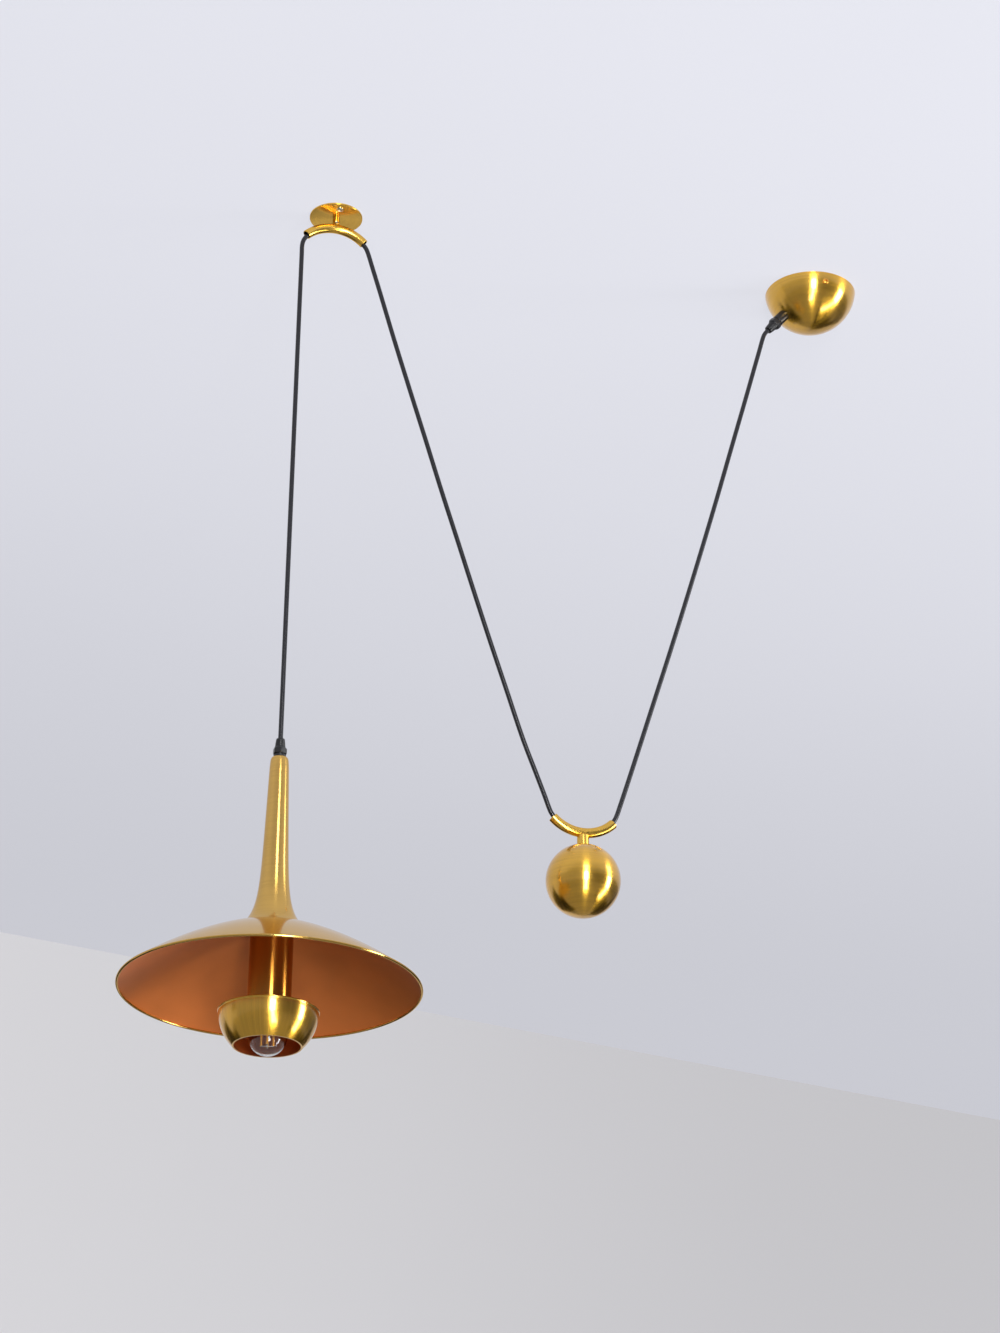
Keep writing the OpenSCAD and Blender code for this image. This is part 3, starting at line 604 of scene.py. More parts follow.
def plated(name, hex_code, pattern, dark, low, high):
    """Plated steel: a thin bright metal whose tone and gloss follow a pattern."""
    made, tree, shader = start(name, {"Metallic": 1.0})
    base = (*linear(hex_code), 1.0)
    noise = pattern(tree)
    vary(tree, shader, tones=(noise, shade_of(base, dark), base), gloss=(noise, low, high))
    return made


def zinc_plated_steel(name):
    """Pressed steel, zinc plated: grey, with a faint mottle of zinc crystals 4 mm across."""

    def crystals(tree):
        where = add(tree, "ShaderNodeTexCoord").outputs["Object"]
        cells = add(tree, "ShaderNodeTexVoronoi", {"Vector": where, "Scale": 1 / (4 * MM)})
        return cells.outputs["Color"]

    return plated(name, "#C3C6C9", crystals, dark=0.85, low=0.28, high=0.42)


def even_plating(tree):
    """The even pattern of thin bright plating"""
    return grain(tree, 1.5 * MM)


def nickel_plated_steel(name):
    """Nickel-plated screws and caps: bright and almost a mirror."""
    return plated(name, "#D9D8D3", even_plating, dark=0.92, low=0.14, high=0.24)


def brass_plated_steel(name):
    """Brass-plated steel screws and contacts: brighter and yellower than the lacquered parts."""
    return plated(name, "#F0B652", even_plating, dark=0.9, low=0.16, high=0.26)


def blown_clear_glass(name):
    """Blown soda-lime glass: clear, with slight waves that bend what is behind it."""
    made, tree, shader = start(name, {
        "Transmission Weight": 1.0, "IOR": 1.5, "Roughness": 0.0,
        "Base Color": (*linear("#FAFCFC"), 1.0),
    })
    vary(tree, shader, relief=(grain(tree, 9 * MM, 1.0), 0.05 * MM, 0.4))
    return made


def amber_phosphor(name):
    """Silicone with phosphor over the chips of an LED filament: matt and deep amber."""
    made, tree, shader = start(name, {"Roughness": 0.5, "IOR": 1.41})
    base = (*linear("#FFAA1C"), 1.0)
    vary(tree, shader, tones=(grain(tree, 1.5 * MM), shade_of(base, 0.85), base))
    return made


def pressed_black_glass(name):
    """Black glass insulator of the bulb's cap: glossy."""
    black = (*linear("#17181B"), 1.0)
    return moulded(name, black, roughness=0.12, texture=2 * MM, depth=0.01 * MM)


def room_surface(name, base, axis, first, last, tone=0.16):
    """Matt paint of the room. Seen directly or in metal it glows, painted light in place of daylight,
    from one amount to another between two places (place, glow) along an axis, where the fall of the
    glow is painted shade. Its own tone is dark, so that shadows on it stay faint. From behind it
    isn't there, and other views look past it."""
    made, tree, shader = start(name, {
        "Roughness": 0.9, "Specular IOR Level": 0.2, "Emission Color": base,
    })
    dark = shade_of(base, tone)
    vary(tree, shader, tones=(grain(tree, 0.9, 2.0), shade_of(dark, 0.9), dark))
    place_in = add(tree, "ShaderNodeTexCoord").outputs["Object"]
    along = add(tree, "ShaderNodeSeparateXYZ", {0: place_in}).outputs[axis]
    glow = add(tree, "ShaderNodeMapRange", {
        "Value": along, "From Min": first[0], "From Max": last[0], "To Min": first[1],
        "To Max": last[1],
    }, interpolation_type="SMOOTHSTEP")
    path = add(tree, "ShaderNodeLightPath").outputs
    seen = add(tree, "ShaderNodeMath", {0: path["Is Camera Ray"], 1: path["Is Glossy Ray"]})
    seen = add(tree, "ShaderNodeMath", {0: seen.outputs[0], 1: path["Is Transmission Ray"]},
               use_clamp=True)
    shown = add(tree, "ShaderNodeMath", {0: seen.outputs[0], 1: glow.outputs["Result"]},
                operation="MULTIPLY")
    tree.links.new(shown.outputs[0], shader.inputs["Emission Strength"])
    behind = add(tree, "ShaderNodeNewGeometry").outputs["Backfacing"]
    nothing = add(tree, "ShaderNodeBsdfTransparent").outputs[0]
    both = add(tree, "ShaderNodeMixShader", {0: behind, 1: shader.outputs[0], 2: nothing})
    tree.links.new(both.outputs[0], tree.nodes["Material Output"].inputs["Surface"])
    return made


def ceiling_paint(name):
    """Matt white emulsion with a cool cast, whose painted light is a little darker towards the far wall."""
    return room_surface(name, chosen("ceiling"), "Y", first=(-0.6, 0.86), last=(2.6, 0.7))


def dim_ceiling_paint(name):
    """Painted reflection of the ceiling, seen only in metal: its painted light darkens towards the viewer's
    side.
    """
    return room_surface(name, chosen("ceiling"), "Y", first=(-2.4, 0.34), last=(-0.6, 0.84))


def wall_paint(name):
    """The same emulsion on the far wall, whose painted light is a little darker on the right."""
    paint = (*linear("#E5E4E8"), 1.0)
    return room_surface(name, paint, "X", first=(-1.2, 0.76), last=(1.4, 0.62))


def side_wall_paint(name):
    """Painted reflection of the walls beside and behind the viewer, seen only in metal: its painted light is
    pale on the left and dim on the right.
    """
    return room_surface(name, chosen("ceiling"), "X", first=(-3.0, 0.48), last=(2.5, 0.14))


def floor_paint(name):
    """Plain pale floor, whose glow, painted light, rises a little from the viewer's side to under the lamp.
    """
    return room_surface(
        name, chosen("floor"), "Y", first=(-9.0, 0.72), last=(0.0, 0.8), tone=0.08,
    )


def grey_cloth(name):
    """Painted reflection of a greyer floor: a sheet seen only in metal, in place of the pale floor."""
    grey = (*linear("#BDBBB6"), 1.0)
    return room_surface(name, grey, "Y", first=(-6.0, 0.5), last=(0.0, 0.6), tone=0.08)


def black_cloth(name):
    """Painted dark reflection: a matt black sheet, seen only in metal, that gives the brass its dark
    reflections.
    """
    made, tree, shader = start(name, {"Roughness": 1.0, "Specular IOR Level": 0.0})
    black = (*linear("#4A4640"), 1.0)
    vary(tree, shader, tones=(grain(tree, 5 * MM), shade_of(black, 0.7), black))
    return made


FINISHES = {make.__name__: make for make in (
    brushed_brass, wiped_brushed_brass, spun_satin_brass, spun_bright_brass, turned_brass_face,
    drawn_brass_tube, polished_brass, copper_lacquer, dark_copper_lacquer,
    moulded_black_nylon, extruded_black_pvc, moulded_white_nylon,
    zinc_plated_steel, nickel_plated_steel, brass_plated_steel, blown_clear_glass,
    amber_phosphor, pressed_black_glass, ceiling_paint, dim_ceiling_paint, wall_paint,
    side_wall_paint, floor_paint, grey_cloth, black_cloth,
)}
FINISHES.update({hue: core_pvc for hue in CORE_HUES})


def material(name):
    """The finish of that name, made when it is first asked for"""
    return bpy.data.materials.get(name) or FINISHES[name](name)


# ---------------------------------------------------------------- operators


class PENDANT_OT_camera(bpy.types.Operator):
    """Adds the camera at the height of a person who looks up at the lamp"""

    bl_idname = "pendant.camera"
    bl_label = "Camera"

    def execute(self, context):
        camera = bpy.data.objects.new("camera", bpy.data.cameras.new("camera"))
        camera.data.sensor_width = 36
        camera.data.lens = 83.39
        camera.data.clip_end = 100
        heading = Matrix.Rotation(math.radians(-15.51), 4, "Z")
        pitch = Matrix.Rotation(math.radians(90 + 25.754), 4, "X")
        roll = Matrix.Rotation(math.radians(0.567), 4, "Z")
        stand = Matrix.Translation((-1.3355, -3.2753, -2.2516))
        camera.matrix_world = stand @ heading @ pitch @ roll
        context.scene.collection.objects.link(camera)
        context.scene.camera = camera
        return {"FINISHED"}


def keep_taut(piece, start, end):
    """Gives each point of a blended cord an even share of its far body's motion, so that the cord
    stays as straight as its pull makes it while it lengthens and shortens"""
    start, way = Vector(start), Vector(end) - Vector(start)
    shares = piece.data.attributes["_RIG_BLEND"].data
    for vertex, share in zip(piece.data.vertices, shares):
        along = (vertex.co - start).dot(way) / way.length_squared
        share.value = min(1.0, max(0.0, along))


class PENDANT_OT_cords(bpy.types.Operator):
    """Adds the cord in its three free stretches, which bend between the parts that they join"""

    bl_idname = "pendant.cords"
    bl_label = "Cords"

    def execute(self, context):
        self.stretch(
            context, "cord_from_canopy", CANOPY_TO_WEIGHT, "cord_canopy_to_weight",
            ("ceiling", "counterweight"), bend_start=(-62, -65.5), bend_end=(-282, -799),
        )
        self.stretch(
            context, "cord_from_weight", WEIGHT_TO_HOOK, "cord_weight_to_hook",
            ("counterweight", "ceiling"), bend_start=(-360, -800), bend_end=(-614.5, -33.5),
        )
        self.stretch(
            context, "cord_from_hook", HOOK_TO_LAMP, "cord_hook_to_lamp",
            ("ceiling", "lamp"), bend_start=(-695, -51), bend_end=(-695, -745),
        )
        return {"FINISHED"}

    def stretch(self, context, name, route, node, bodies, bend_start, bend_end):
        """One free stretch, which follows its two bodies between two (x, z) places in millimetres"""
        diameter, step = context.scene.pendant_sizes.cord, 2.5 * MM
        line = smooth_line([Vector((x, 0, z)) * MM for x, z in route], step)
        piece = swept(name, line, diameter / 2, 24, ["extruded_black_pvc"])
        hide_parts(node)
        ends = [(x * MM, 0, z * MM) for x, z in (bend_start, bend_end)]
        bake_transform(piece, *bodies, start=ends[0], end=ends[1])
        keep_taut(piece, *ends)


class PENDANT_OT_canopy(bpy.types.Operator):
    """Adds the half-round canopy with its two side screws"""

    bl_idname = "pendant.canopy"
    bl_label = "Canopy"

    def execute(self, context):
        wall = context.scene.pendant_sizes.canopy_wall
        inside, steps = CANOPY_R - wall, 72
        rim, inner_rim = (
            math.degrees(math.asin(-CANOPY_CENTRE.z / r)) for r in (CANOPY_R, inside)
        )
        outline = arc(0, CANOPY_CENTRE.z, CANOPY_R, -90, rim, steps)
        outline += arc(0, CANOPY_CENTRE.z, inside, inner_rim, -90, steps)
        shell = turned("canopy", outline, (0, 0, 0), ["brushed_brass"])
        gland_hole_r, screw_hole_r = 5.2 * MM, 2.1 * MM
        halfway = CANOPY_CENTRE + GLAND_WAY * CANOPY_R / 2
        cutters = [drill(halfway, GLAND_WAY, gland_hole_r, CANOPY_R)]
        for side in (-1, 1):
            cutters.append(drill((0, 0, SIDE_SCREW_Z), (0, side, 0), screw_hole_r, 2 * CANOPY_R))
        place(carve(shell, cutters), "ceiling", "satin_brass", "canopy_shell")
        return {"FINISHED"}


def cross_recess(width, depth, turn):
    """Cutters for the cross in a screw's head, whose face is at the origin: two tapered slots"""
    cutters = []
    for k in (0, 1):
        bm = bmesh.new()
        rows = []
        for z, taper in ((0.4 * depth, 1.1), (-depth, 0.45)):
            half, thick = width / 2 * taper, width * 0.13 * (0.7 + 0.3 * taper)
            corners = ((-half, -thick), (half, -thick), (half, thick), (-half, thick))
            rows.append([bm.verts.new((x, y, z)) for x, y in corners])
        bm.faces.new(rows[0])
        bm.faces.new(rows[1])
        for n in range(4):
            m = (n + 1) % 4
            bm.faces.new((rows[0][n], rows[0][m], rows[1][m], rows[1][n]))
        spin = Matrix.Rotation(turn + math.pi / 2 * k, 3, "Z")
        bmesh.ops.rotate(bm, verts=bm.verts, matrix=spin)
        cutters.append(finish_mesh("cross", bm, (0, 0, 0), []))
    return cutters


def pan_screw(name, at, way, head_r, head_h, shank_r, shank_h, finish):
    """Pan-head screw with a cross recess: its head's underside is at the point, facing out along
    the direction"""
    side = head_h * 0.55
    outline = [(0, -shank_h), (shank_r, -shank_h), (shank_r, 0), (head_r * 0.97, 0)]
    outline += [(head_r, 0.1 * head_h), (head_r, side)]
    crown = [
        (head_r * math.cos(a), side + (head_h - side) * math.sin(a))
        for a in (math.radians(15 * k) for k in range(1, 6))
    ]
    outline += crown + [(0, head_h)]
    screw = turned(name, outline, (0, 0, 0), [finish], 64)
    cutters = cross_recess(head_r * 1.15, head_h * 0.75, turn=0.3)
    for cutter in cutters:
        cutter.location.z = head_h
    carve(screw, cutters)
    screw.location = at
    return aim(screw, way)


class PENDANT_OT_side_screws(bpy.types.Operator):
    """Adds the brass screws that hold the canopy to its crossbar"""

    bl_idname = "pendant.side_screws"
    bl_label = "Canopy screws"

    def execute(self, context):
        sunk = 0.2 * MM
        seat = math.sqrt(CANOPY_R**2 - (CANOPY_CENTRE.z - SIDE_SCREW_Z) ** 2)
        for name, side in (("canopy_screw_front", -1), ("canopy_screw_back", 1)):
            at = (0, side * (seat - sunk), SIDE_SCREW_Z)
            screw = pan_screw(
                name, at, (0, side, 0), head_r=3.8 * MM, head_h=2.4 * MM, shank_r=1.7 * MM,
                shank_h=8 * MM, finish="brass_plated_steel",
            )
            place(screw, "ceiling", "tube_brass", "canopy_side_screws")
        return {"FINISHED"}


GLAND_NUT_H = 7.5 * MM
GLAND_NOSE_H = 12 * MM
GLAND_BODY_H = (GLAND_TIP - CANOPY_CENTRE).length - CANOPY_R - GLAND_NOSE_H - GLAND_NUT_H


def hexagon(across_flats, corner_r):
    """Radius of a hexagon as a function of the angle, its corners cut round at corner_r"""
    return lambda a: min(
        corner_r, across_flats / 2 / math.cos((a + math.pi / 6) % (math.pi / 3) - math.pi / 6)
    )


def gland(prefix, tip, way, sunk, body, nodes):
    """Cord gland, built down from its tip: a grooved nose, its hexagon nut and the round body,
    whose foot is sunk into what carries it. The way points to where the cord leaves."""
    body_r, bore = 7.5 * MM, 3.2 * MM
    waist_r = body_r - 1.2 * MM
    thread_r, thread_h = 5 * MM, 2 * MM
    foot = tip - way * (GLAND_NOSE_H + GLAND_NUT_H)
    low = -GLAND_BODY_H - sunk
    outline = [
        (bore, low - thread_h), (thread_r, low - thread_h), (thread_r, low), (body_r, low),
        (body_r, -1.8 * MM), (body_r - 0.4 * MM, -1.3 * MM), (waist_r, -1.2 * MM),
        (waist_r, 0), (bore, 0),
    ]
    seat = turned(prefix + "_seat", outline, (0, 0, 0), ["moulded_black_nylon"], 96)
    seat.location = foot
    place(aim(seat, way), body, "black_polyamide", nodes[0])

    across_flats = 15 * MM
    corners = (
        (0, 7.5), (0.3, 7.9), (0.7, 8.3), (1, 8.5), (5.7, 8.5), (6.3, 8.15), (6.9, 7.65), (7.5, 7.1),
    )
    rings = [(0, bore)] + [(h * MM, hexagon(across_flats, r * MM)) for h, r in corners]
    nose_r, end_r, groove = 6.5 * MM, 5.2 * MM, 0.4 * MM
    rings.append((GLAND_NUT_H, nose_r))
    for k in range(4):
        for h, cut in ((2.0, 0), (2.25, 0.8), (2.5, 1), (2.75, 0.8), (3.0, 0.2)):
            up = (h + 2.2 * k) * MM
            taper = (nose_r - end_r) * up / GLAND_NOSE_H
            rings.append((GLAND_NUT_H + up, nose_r - taper - groove * cut))
    top = GLAND_NUT_H + GLAND_NOSE_H
    rings += [(top - 0.9 * MM, end_r), (top - 0.3 * MM, end_r - 0.25 * MM), (top, end_r - 0.8 * MM)]
    rings.append((top, bore))
    bm = bmesh.new()
    skin(bm, [((0, 0, h), UP, r) for h, r in rings], 144, "loop")
    nut = finish_mesh(prefix + "_nut", bm, foot, ["moulded_black_nylon"])
    place(aim(nut, way), body, "black_polyamide", nodes[1])


class PENDANT_OT_glands(bpy.types.Operator):
    """Adds the two black cord glands, on the canopy's side and on top of the stem"""

    bl_idname = "pendant.glands"
    bl_label = "Cord glands"

    def execute(self, context):
        gland(
            "canopy_gland", GLAND_TIP, GLAND_WAY, 0.6 * MM, "ceiling",
            ["canopy_gland_body", "canopy_gland_nut"],
        )
        gland(
            "lamp_gland", Vector((LAMP_X, 0, LAMP_TIP_Z)), UP, 0, "lamp",
            ["lamp_gland_body", "lamp_gland_nut"],
        )
        return {"FINISHED"}


def arch_line(centre_x, middle_z, sign):
    """Centre line of a curved tube: sign 1 is bent down like an arch, -1 up like a cradle"""
    steps = 48
    line = []
    for k in range(steps + 1):
        a = TUBE_HALF_ANGLE * (2 * k / steps - 1)
        x = centre_x + TUBE_BEND * math.sin(a)
        z = middle_z - sign * TUBE_BEND * (1 - math.cos(a))
        line.append(Vector((x, 0, z)))
    return line


def curved_tube(name, line, bore):
    """Bent tube with its cut ends slightly rounded"""
    ways = directions(line)
    lip = 0.4 * MM
    face_r = bore + (TUBE_R - bore) * 0.5
    edge_r = TUBE_R - lip * 0.5
    first, last = line[0], line[-1]
    inward, outward = ways[0], ways[-1]
    middle = list(zip(line[1:-1], ways[1:-1]))
    rings = [
        (first, inward, face_r), (first + inward * lip * 0.3, inward, edge_r),
        (first + inward * lip, inward, TUBE_R),
    ]
    rings += [(p, w, TUBE_R) for p, w in middle]
    rings += [
        (last - outward * lip, outward, TUBE_R), (last - outward * lip * 0.3, outward, edge_r),
        (last, outward, face_r), (last - outward * lip * 0.5, outward, bore),
    ]
    rings += [(p, w, bore) for p, w in reversed(middle)]
    rings.append((first + inward * lip * 0.5, inward, bore))
    bm = bmesh.new()
    skin(bm, rings, 64, "loop")
    return finish_mesh(name, bm, (0, 0, 0), ["polished_brass"])


class PENDANT_OT_hook(bpy.types.Operator):
    """Adds the ceiling hook: disc, two ceiling screws, post with its set screw, curved tube"""

    bl_idname = "pendant.hook"
    bl_label = "Ceiling hook"

    def execute(self, context):
        bore = context.scene.pendant_sizes.tube_bore / 2
        line = arch_line(HOOK_X, HOOK_TUBE_Z, 1)
        place(curved_tube("hook_arch", line, bore), "ceiling", "satin_brass", "hook_tube")

        edge = 0.6 * MM
        outline = [(0, 0), (DISC_R, 0)]
        outline += arc(DISC_R - edge, DISC_Z + edge, edge, 0, -90, 6) + [(0, DISC_Z)]
        disc = turned("hook_plate", outline, (HOOK_X, 0, 0), ["turned_brass_face"])
        place(disc, "ceiling", "satin_brass", "hook_disc")

        post_r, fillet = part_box("hook_post")[1].y, 0.5 * MM
        outline = [(0, DISC_Z), (post_r + fillet, DISC_Z)]
        outline += arc(post_r + fillet, DISC_Z - fillet, fillet, 90, 180, 4)
        outline += [(post_r, HOOK_TUBE_Z), (0, HOOK_TUBE_Z)]
        post = turned("hook_stalk", outline, (HOOK_X, 0, 0), ["polished_brass"], 96)
        tube = swept("cutter", line, TUBE_R, 64, [])
        screw_hole_r = 1.3 * MM
        socket = drill((HOOK_X, 0, SET_SCREW_Z), (0, -1, 0), screw_hole_r, 10 * MM)
        place(carve(post, [tube, socket]), "ceiling", "satin_brass", "hook_post")

        head_r = 4.2 * MM
        screw_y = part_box("hook_disc_screws")[1].y - head_r
        for name, side in (("ceiling_screw_front", -1), ("ceiling_screw_back", 1)):
            screw = pan_screw(
                name, (HOOK_X, side * screw_y, DISC_Z), (0, 0, -1), head_r=head_r,
                head_h=2.2 * MM, shank_r=2.1 * MM, shank_h=-DISC_Z, finish="nickel_plated_steel",
            )
            place(screw, "ceiling", "bright_screw", "hook_disc_screws")

        outline = [(r * MM, h * MM) for r, h in (
            (0, -3), (1.2, -3), (1.2, 0), (2.1, 0), (2.2, 0.3), (2.1, 1.0), (1.8, 1.4), (1.0, 1.5),
            (1.0, 0.4), (0, 0.2),
        )]
        seat = (HOOK_X, -post_r, SET_SCREW_Z)
        grub = turned("hook_grub_screw", outline, seat, ["nickel_plated_steel"], 48)
        place(aim(grub, (0, -1, 0)), "ceiling", "bright_screw", "hook_set_screw")
        return {"FINISHED"}


class PENDANT_OT_counterweight(bpy.types.Operator):
    """Adds the counterweight: brass ball, neck and curved tube"""

    bl_idname = "pendant.counterweight"
    bl_label = "Counterweight"

    def execute(self, context):
        bore = context.scene.pendant_sizes.tube_bore / 2
        line = arch_line(WEIGHT_X, WEIGHT_TUBE_Z, -1)
        cradle = curved_tube("weight_cradle", line, bore)
        place(cradle, "counterweight", "satin_brass", "weight_tube")

        neck_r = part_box("weight_neck")[1].y
        neck_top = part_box("weight_neck")[1].z - BALL_Z
        sunk, edge = 2 * MM, 0.8 * MM
        root = math.sqrt(BALL_R**2 - neck_r**2) - sunk
        outline = [(0, root), (neck_r, root), (neck_r, neck_top - edge)]
        outline += arc(neck_r - edge, neck_top - edge, edge, 0, 90, 6) + [(0, neck_top)]
        neck = turned("weight_collar", outline, (WEIGHT_X, 0, BALL_Z), ["polished_brass"], 96)
        tube = swept("cutter", line, TUBE_R, 64, [])
        place(carve(neck, [tube]), "counterweight", "satin_brass", "weight_neck")

        outline = arc(0, 0, BALL_R, -90, 90, 96)
        ball = turned("counterweight_ball", outline, (WEIGHT_X, 0, BALL_Z), ["brushed_brass"])
        place(ball, "counterweight", "satin_brass", "weight_ball")
        return {"FINISHED"}


def stem_radius(depth):
    """Outer radius of the stem at a depth below its top: a slow taper and a flare at the foot"""
    top_r, taper, flare, reach = 11 * MM, 7.1 * MM, 19.5 * MM, 20 * MM
    return top_r + taper * depth / STEM_H + flare * math.exp((depth - STEM_H) / reach)


class PENDANT_OT_stem(bpy.types.Operator):
    """Adds the trumpet-shaped stem"""

    bl_idname = "pendant.stem"
    bl_label = "Stem"

    def execute(self, context):
        wall, foot, steps = 1.6 * MM, 4 * MM, 90
        socket_r, neck_hole_r, foot_hole_r = 7.6 * MM, 5.1 * MM, 5.05 * MM
        socket_end, shoulder_end, neck_end = 12 * MM, 14 * MM, 20 * MM

        def depths(top, low):
            """Depths of the rings from one to another, closer together towards the flare"""
            return [top + (low - top) * (1 - (1 - k / steps) ** 1.5) for k in range(steps + 1)]

        edge = ((8.4, 0), (9.5, -0.8), (10.3, -2.2), (10.8, -4.5), (11.1, -8))
        shoulder = [Vector(p) * MM for p in edge]
        shoulder.append(Vector((stem_radius(shoulder_end), -shoulder_end)))
        outline = [(socket_r, 0)] + [tuple(p) for p in smooth_line(shoulder, 0.7 * MM)]
        outline += [(stem_radius(d), -d) for d in depths(shoulder_end, STEM_H)[1:]]
        outline += [(foot_hole_r, -STEM_H), (foot_hole_r, -STEM_H + foot)]
        inside = depths(neck_end, STEM_H - foot)
        outline += [(stem_radius(d) - wall, -d) for d in reversed(inside)]
        outline += [(neck_hole_r, -neck_end), (neck_hole_r, -socket_end), (socket_r, -socket_end)]
        stem = turned("trumpet_stem", outline, (LAMP_X, 0, STEM_TOP_Z), ["spun_satin_brass"])
        place(stem, "lamp", "satin_brass", "stem")
        return {"FINISHED"}


def lined(first, last):
    """Paints the strips from first up to last with a piece's second finish"""
    return lambda strip: int(first <= strip < last)


class PENDANT_OT_shade(bpy.types.Operator):
    """Adds the wide shade with its rolled rim and copper lining"""

    bl_idname = "pendant.shade"
    bl_label = "Shade"

    def execute(self, context):
        sizes = context.scene.pendant_sizes
        bead = sizes.rim_bead / 2
        metal = sizes.shade_metal
        edge_r = SHADE_WIDE_R - bead
        seat_r, hole_r, steps = 38 * MM, 5.1 * MM, 110
        dome, cone = 42.5 * MM, 39.8 * MM

        def rise(r):
            """Height of the outside over the shade's edge at a radius, part dome and part cone"""
            u = r / edge_r
            return dome * (1 - u * u) + cone * (1 - u)

        radii = [seat_r + (edge_r - seat_r) * k / steps for k in range(steps + 1)]
        outline = [(hole_r, rise(seat_r))] + [(r, rise(r)) for r in radii]
        outline += arc(edge_r, -bead, bead, 80, -220, 30)
        meets = edge_r - 0.75 * bead
        lining_from = len(outline) - 1
        outline += [(r, rise(r) - metal) for r in reversed(radii) if r < meets]
        outline += [(hole_r, rise(seat_r) - metal)]
        shade = turned(
            "shade_dish", outline, (LAMP_X, 0, SHADE_LOW_Z + 2 * bead),
            ["spun_bright_brass", "copper_lacquer"], 256, lined(lining_from, len(outline) - 1),
        )
        place(shade, "lamp", "satin_brass", "shade")
        return {"FINISHED"}


class PENDANT_OT_reflector(bpy.types.Operator):
    """Adds the tube inside the shade and the open cup on it"""

    bl_idname = "pendant.reflector"
    bl_label = "Tube and cup"

    def execute(self, context):
        wall = 1.2 * MM
        high = INNER_TOP_Z - INNER_LOW_Z
        outline = [
            (INNER_R - wall, 0.2 * MM), (INNER_R - wall * 0.5, 0), (INNER_R - 0.15 * MM, 0.1 * MM),
            (INNER_R, 0.4 * MM), (INNER_R, high), (INNER_R - wall, high),
        ]
        tube = turned("reflector_tube", outline, (LAMP_X, 0, INNER_LOW_Z), ["drawn_brass_tube"])
        place(tube, "lamp", "tube_brass", "inner_tube")

        cup_wall = context.scene.pendant_sizes.cup_wall
        lip = 0.9 * MM
        outer_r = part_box("cup")[1].y - (lip - 0.1 * MM)
        inner_r = outer_r - cup_wall
        cut, inner_cut = (math.degrees(math.asin(-CUP_H / r)) for r in (outer_r, inner_r))
        outline = [p for p in arc(0, 0, outer_r, cut, 0, 60) if p[1] < -1.8 * lip]
        outline += arc(outer_r - 0.1 * MM, -lip, lip, -50, 165, 16)
        lining_from = len(outline) - 1
        outline += [p for p in arc(0, 0, inner_r, 0, inner_cut, 60) if p[1] < -0.8 * lip]
        cup = turned(
            "reflector_cup", outline, (LAMP_X, 0, CUP_TOP_Z),
            ["wiped_brushed_brass", "dark_copper_lacquer"], 192, lined(lining_from, len(outline) - 1),
        )
        place(cup, "lamp", "satin_brass", "cup")
        return {"FINISHED"}


class PENDANT_OT_bulb(bpy.types.Operator):
    """Adds the clear globe bulb with four upright filaments"""

    bl_idname = "pendant.bulb"
    bl_label = "Bulb"

    def execute(self, context):
        wall = context.scene.pendant_sizes.glass_wall
        globe = turned(
            "bulb_glass", self.glass(0) + list(reversed(self.glass(wall))), (LAMP_X, 0, GLOBE_Z),
            ["blown_clear_glass"], 128,
        )
        place(globe, "bulb", "clear_glass", "bulb_globe")

        from_axis, rod_r = 7 * MM, 1.1 * MM
        outline = arc(0, -9.8 * MM, rod_r, -90, 0, 5) + arc(0, 15.1 * MM, rod_r, 0, 90, 5)
        for k in range(4):
            a = math.radians(90 * k - 15)
            at = Vector((LAMP_X + from_axis * math.cos(a), from_axis * math.sin(a), GLOBE_Z))
            rod = turned(f"bulb_filament_{k + 1}", outline, at, ["amber_phosphor"], 24)
            place(rod, "bulb", "filament", "bulb_filaments")
        return {"FINISHED"}

    def glass(self, inset):
        """Outline of the glass from its lowest point to the cap, a given depth inside its outside"""
        r, neck = GLOBE_R - inset, 12.6 * MM - inset
        top = 50
        shoulder = [Vector(p) for p in arc(0, 0, r, top - 6, top, 1)]
        shoulder += [Vector((neck + 0.5 * MM, r * math.sin(math.radians(top)) + 3.6 * MM))]
        shoulder += [Vector((neck, 24 * MM)), Vector((neck, 24.8 * MM))]
        curve = [tuple(p) for p in smooth_line(shoulder, 0.6 * MM)]
        return [(max(x, 0), z) for x, z in arc(0, 0, r, -90, top - 8, 48)] + curve


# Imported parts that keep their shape, and the finish that each gets
FITTINGS = {
    "zinc_plated_steel": (
        "canopy_crossbar", "weight_stud", "tube_top_plate", "clamp_washer", "clamp_nut",
        "hook_post_screw",
    ),
    "nickel_plated_steel": (
        "terminal_screws", "terminal_block_screws", "cup_set_screws", "bulb_cap", "bulb_contact",
        "holder_shell", "bulb_support_wires",
    ),
    "brass_plated_steel": ("earth_screw", "holder_contact", "threaded_rod"),
    "polished_brass": ("cup_carrier",),
    "moulded_black_nylon": ("canopy_gland_locknut", "holder_body", "holder_skirt_ring"),
    "extruded_black_pvc": ("canopy_cord_tail", "lamp_cord_tail"),
    "moulded_white_nylon": ("terminal_block",),
    "brown_pvc": ("canopy_live_core", "holder_wires"),
    "blue_pvc": ("canopy_neutral_core",),
    "green_pvc": ("canopy_earth_core",),
    "pressed_black_glass": ("bulb_insulator",),
    "blown_clear_glass": ("bulb_glass_stem",),
}


class PENDANT_OT_fittings(bpy.types.Operator):
    """Gives the screws, wiring, lampholder and other fittings their finishes"""

    bl_idname = "pendant.fittings"
    bl_label = "Fittings"

    def execute(self, context):
        for finish, nodes in FITTINGS.items():
            for node in nodes:
                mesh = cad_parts[node].data
                mesh.materials.clear()
                mesh.materials.append(material(finish))
        return {"FINISHED"}


def panel(name, corners, finish):
    """Flat stage surface through four corners, seen from the side where they run anticlockwise"""
    bm = bmesh.new()
    bm.faces.new([bm.verts.new(c) for c in corners])
    mesh = bpy.data.meshes.new(name)
    bm.to_mesh(mesh)
    bm.free()
    mesh.materials.append(material(finish))
    surface = bpy.data.objects.new(name, mesh)
    bpy.context.scene.collection.objects.link(surface)
    return surface


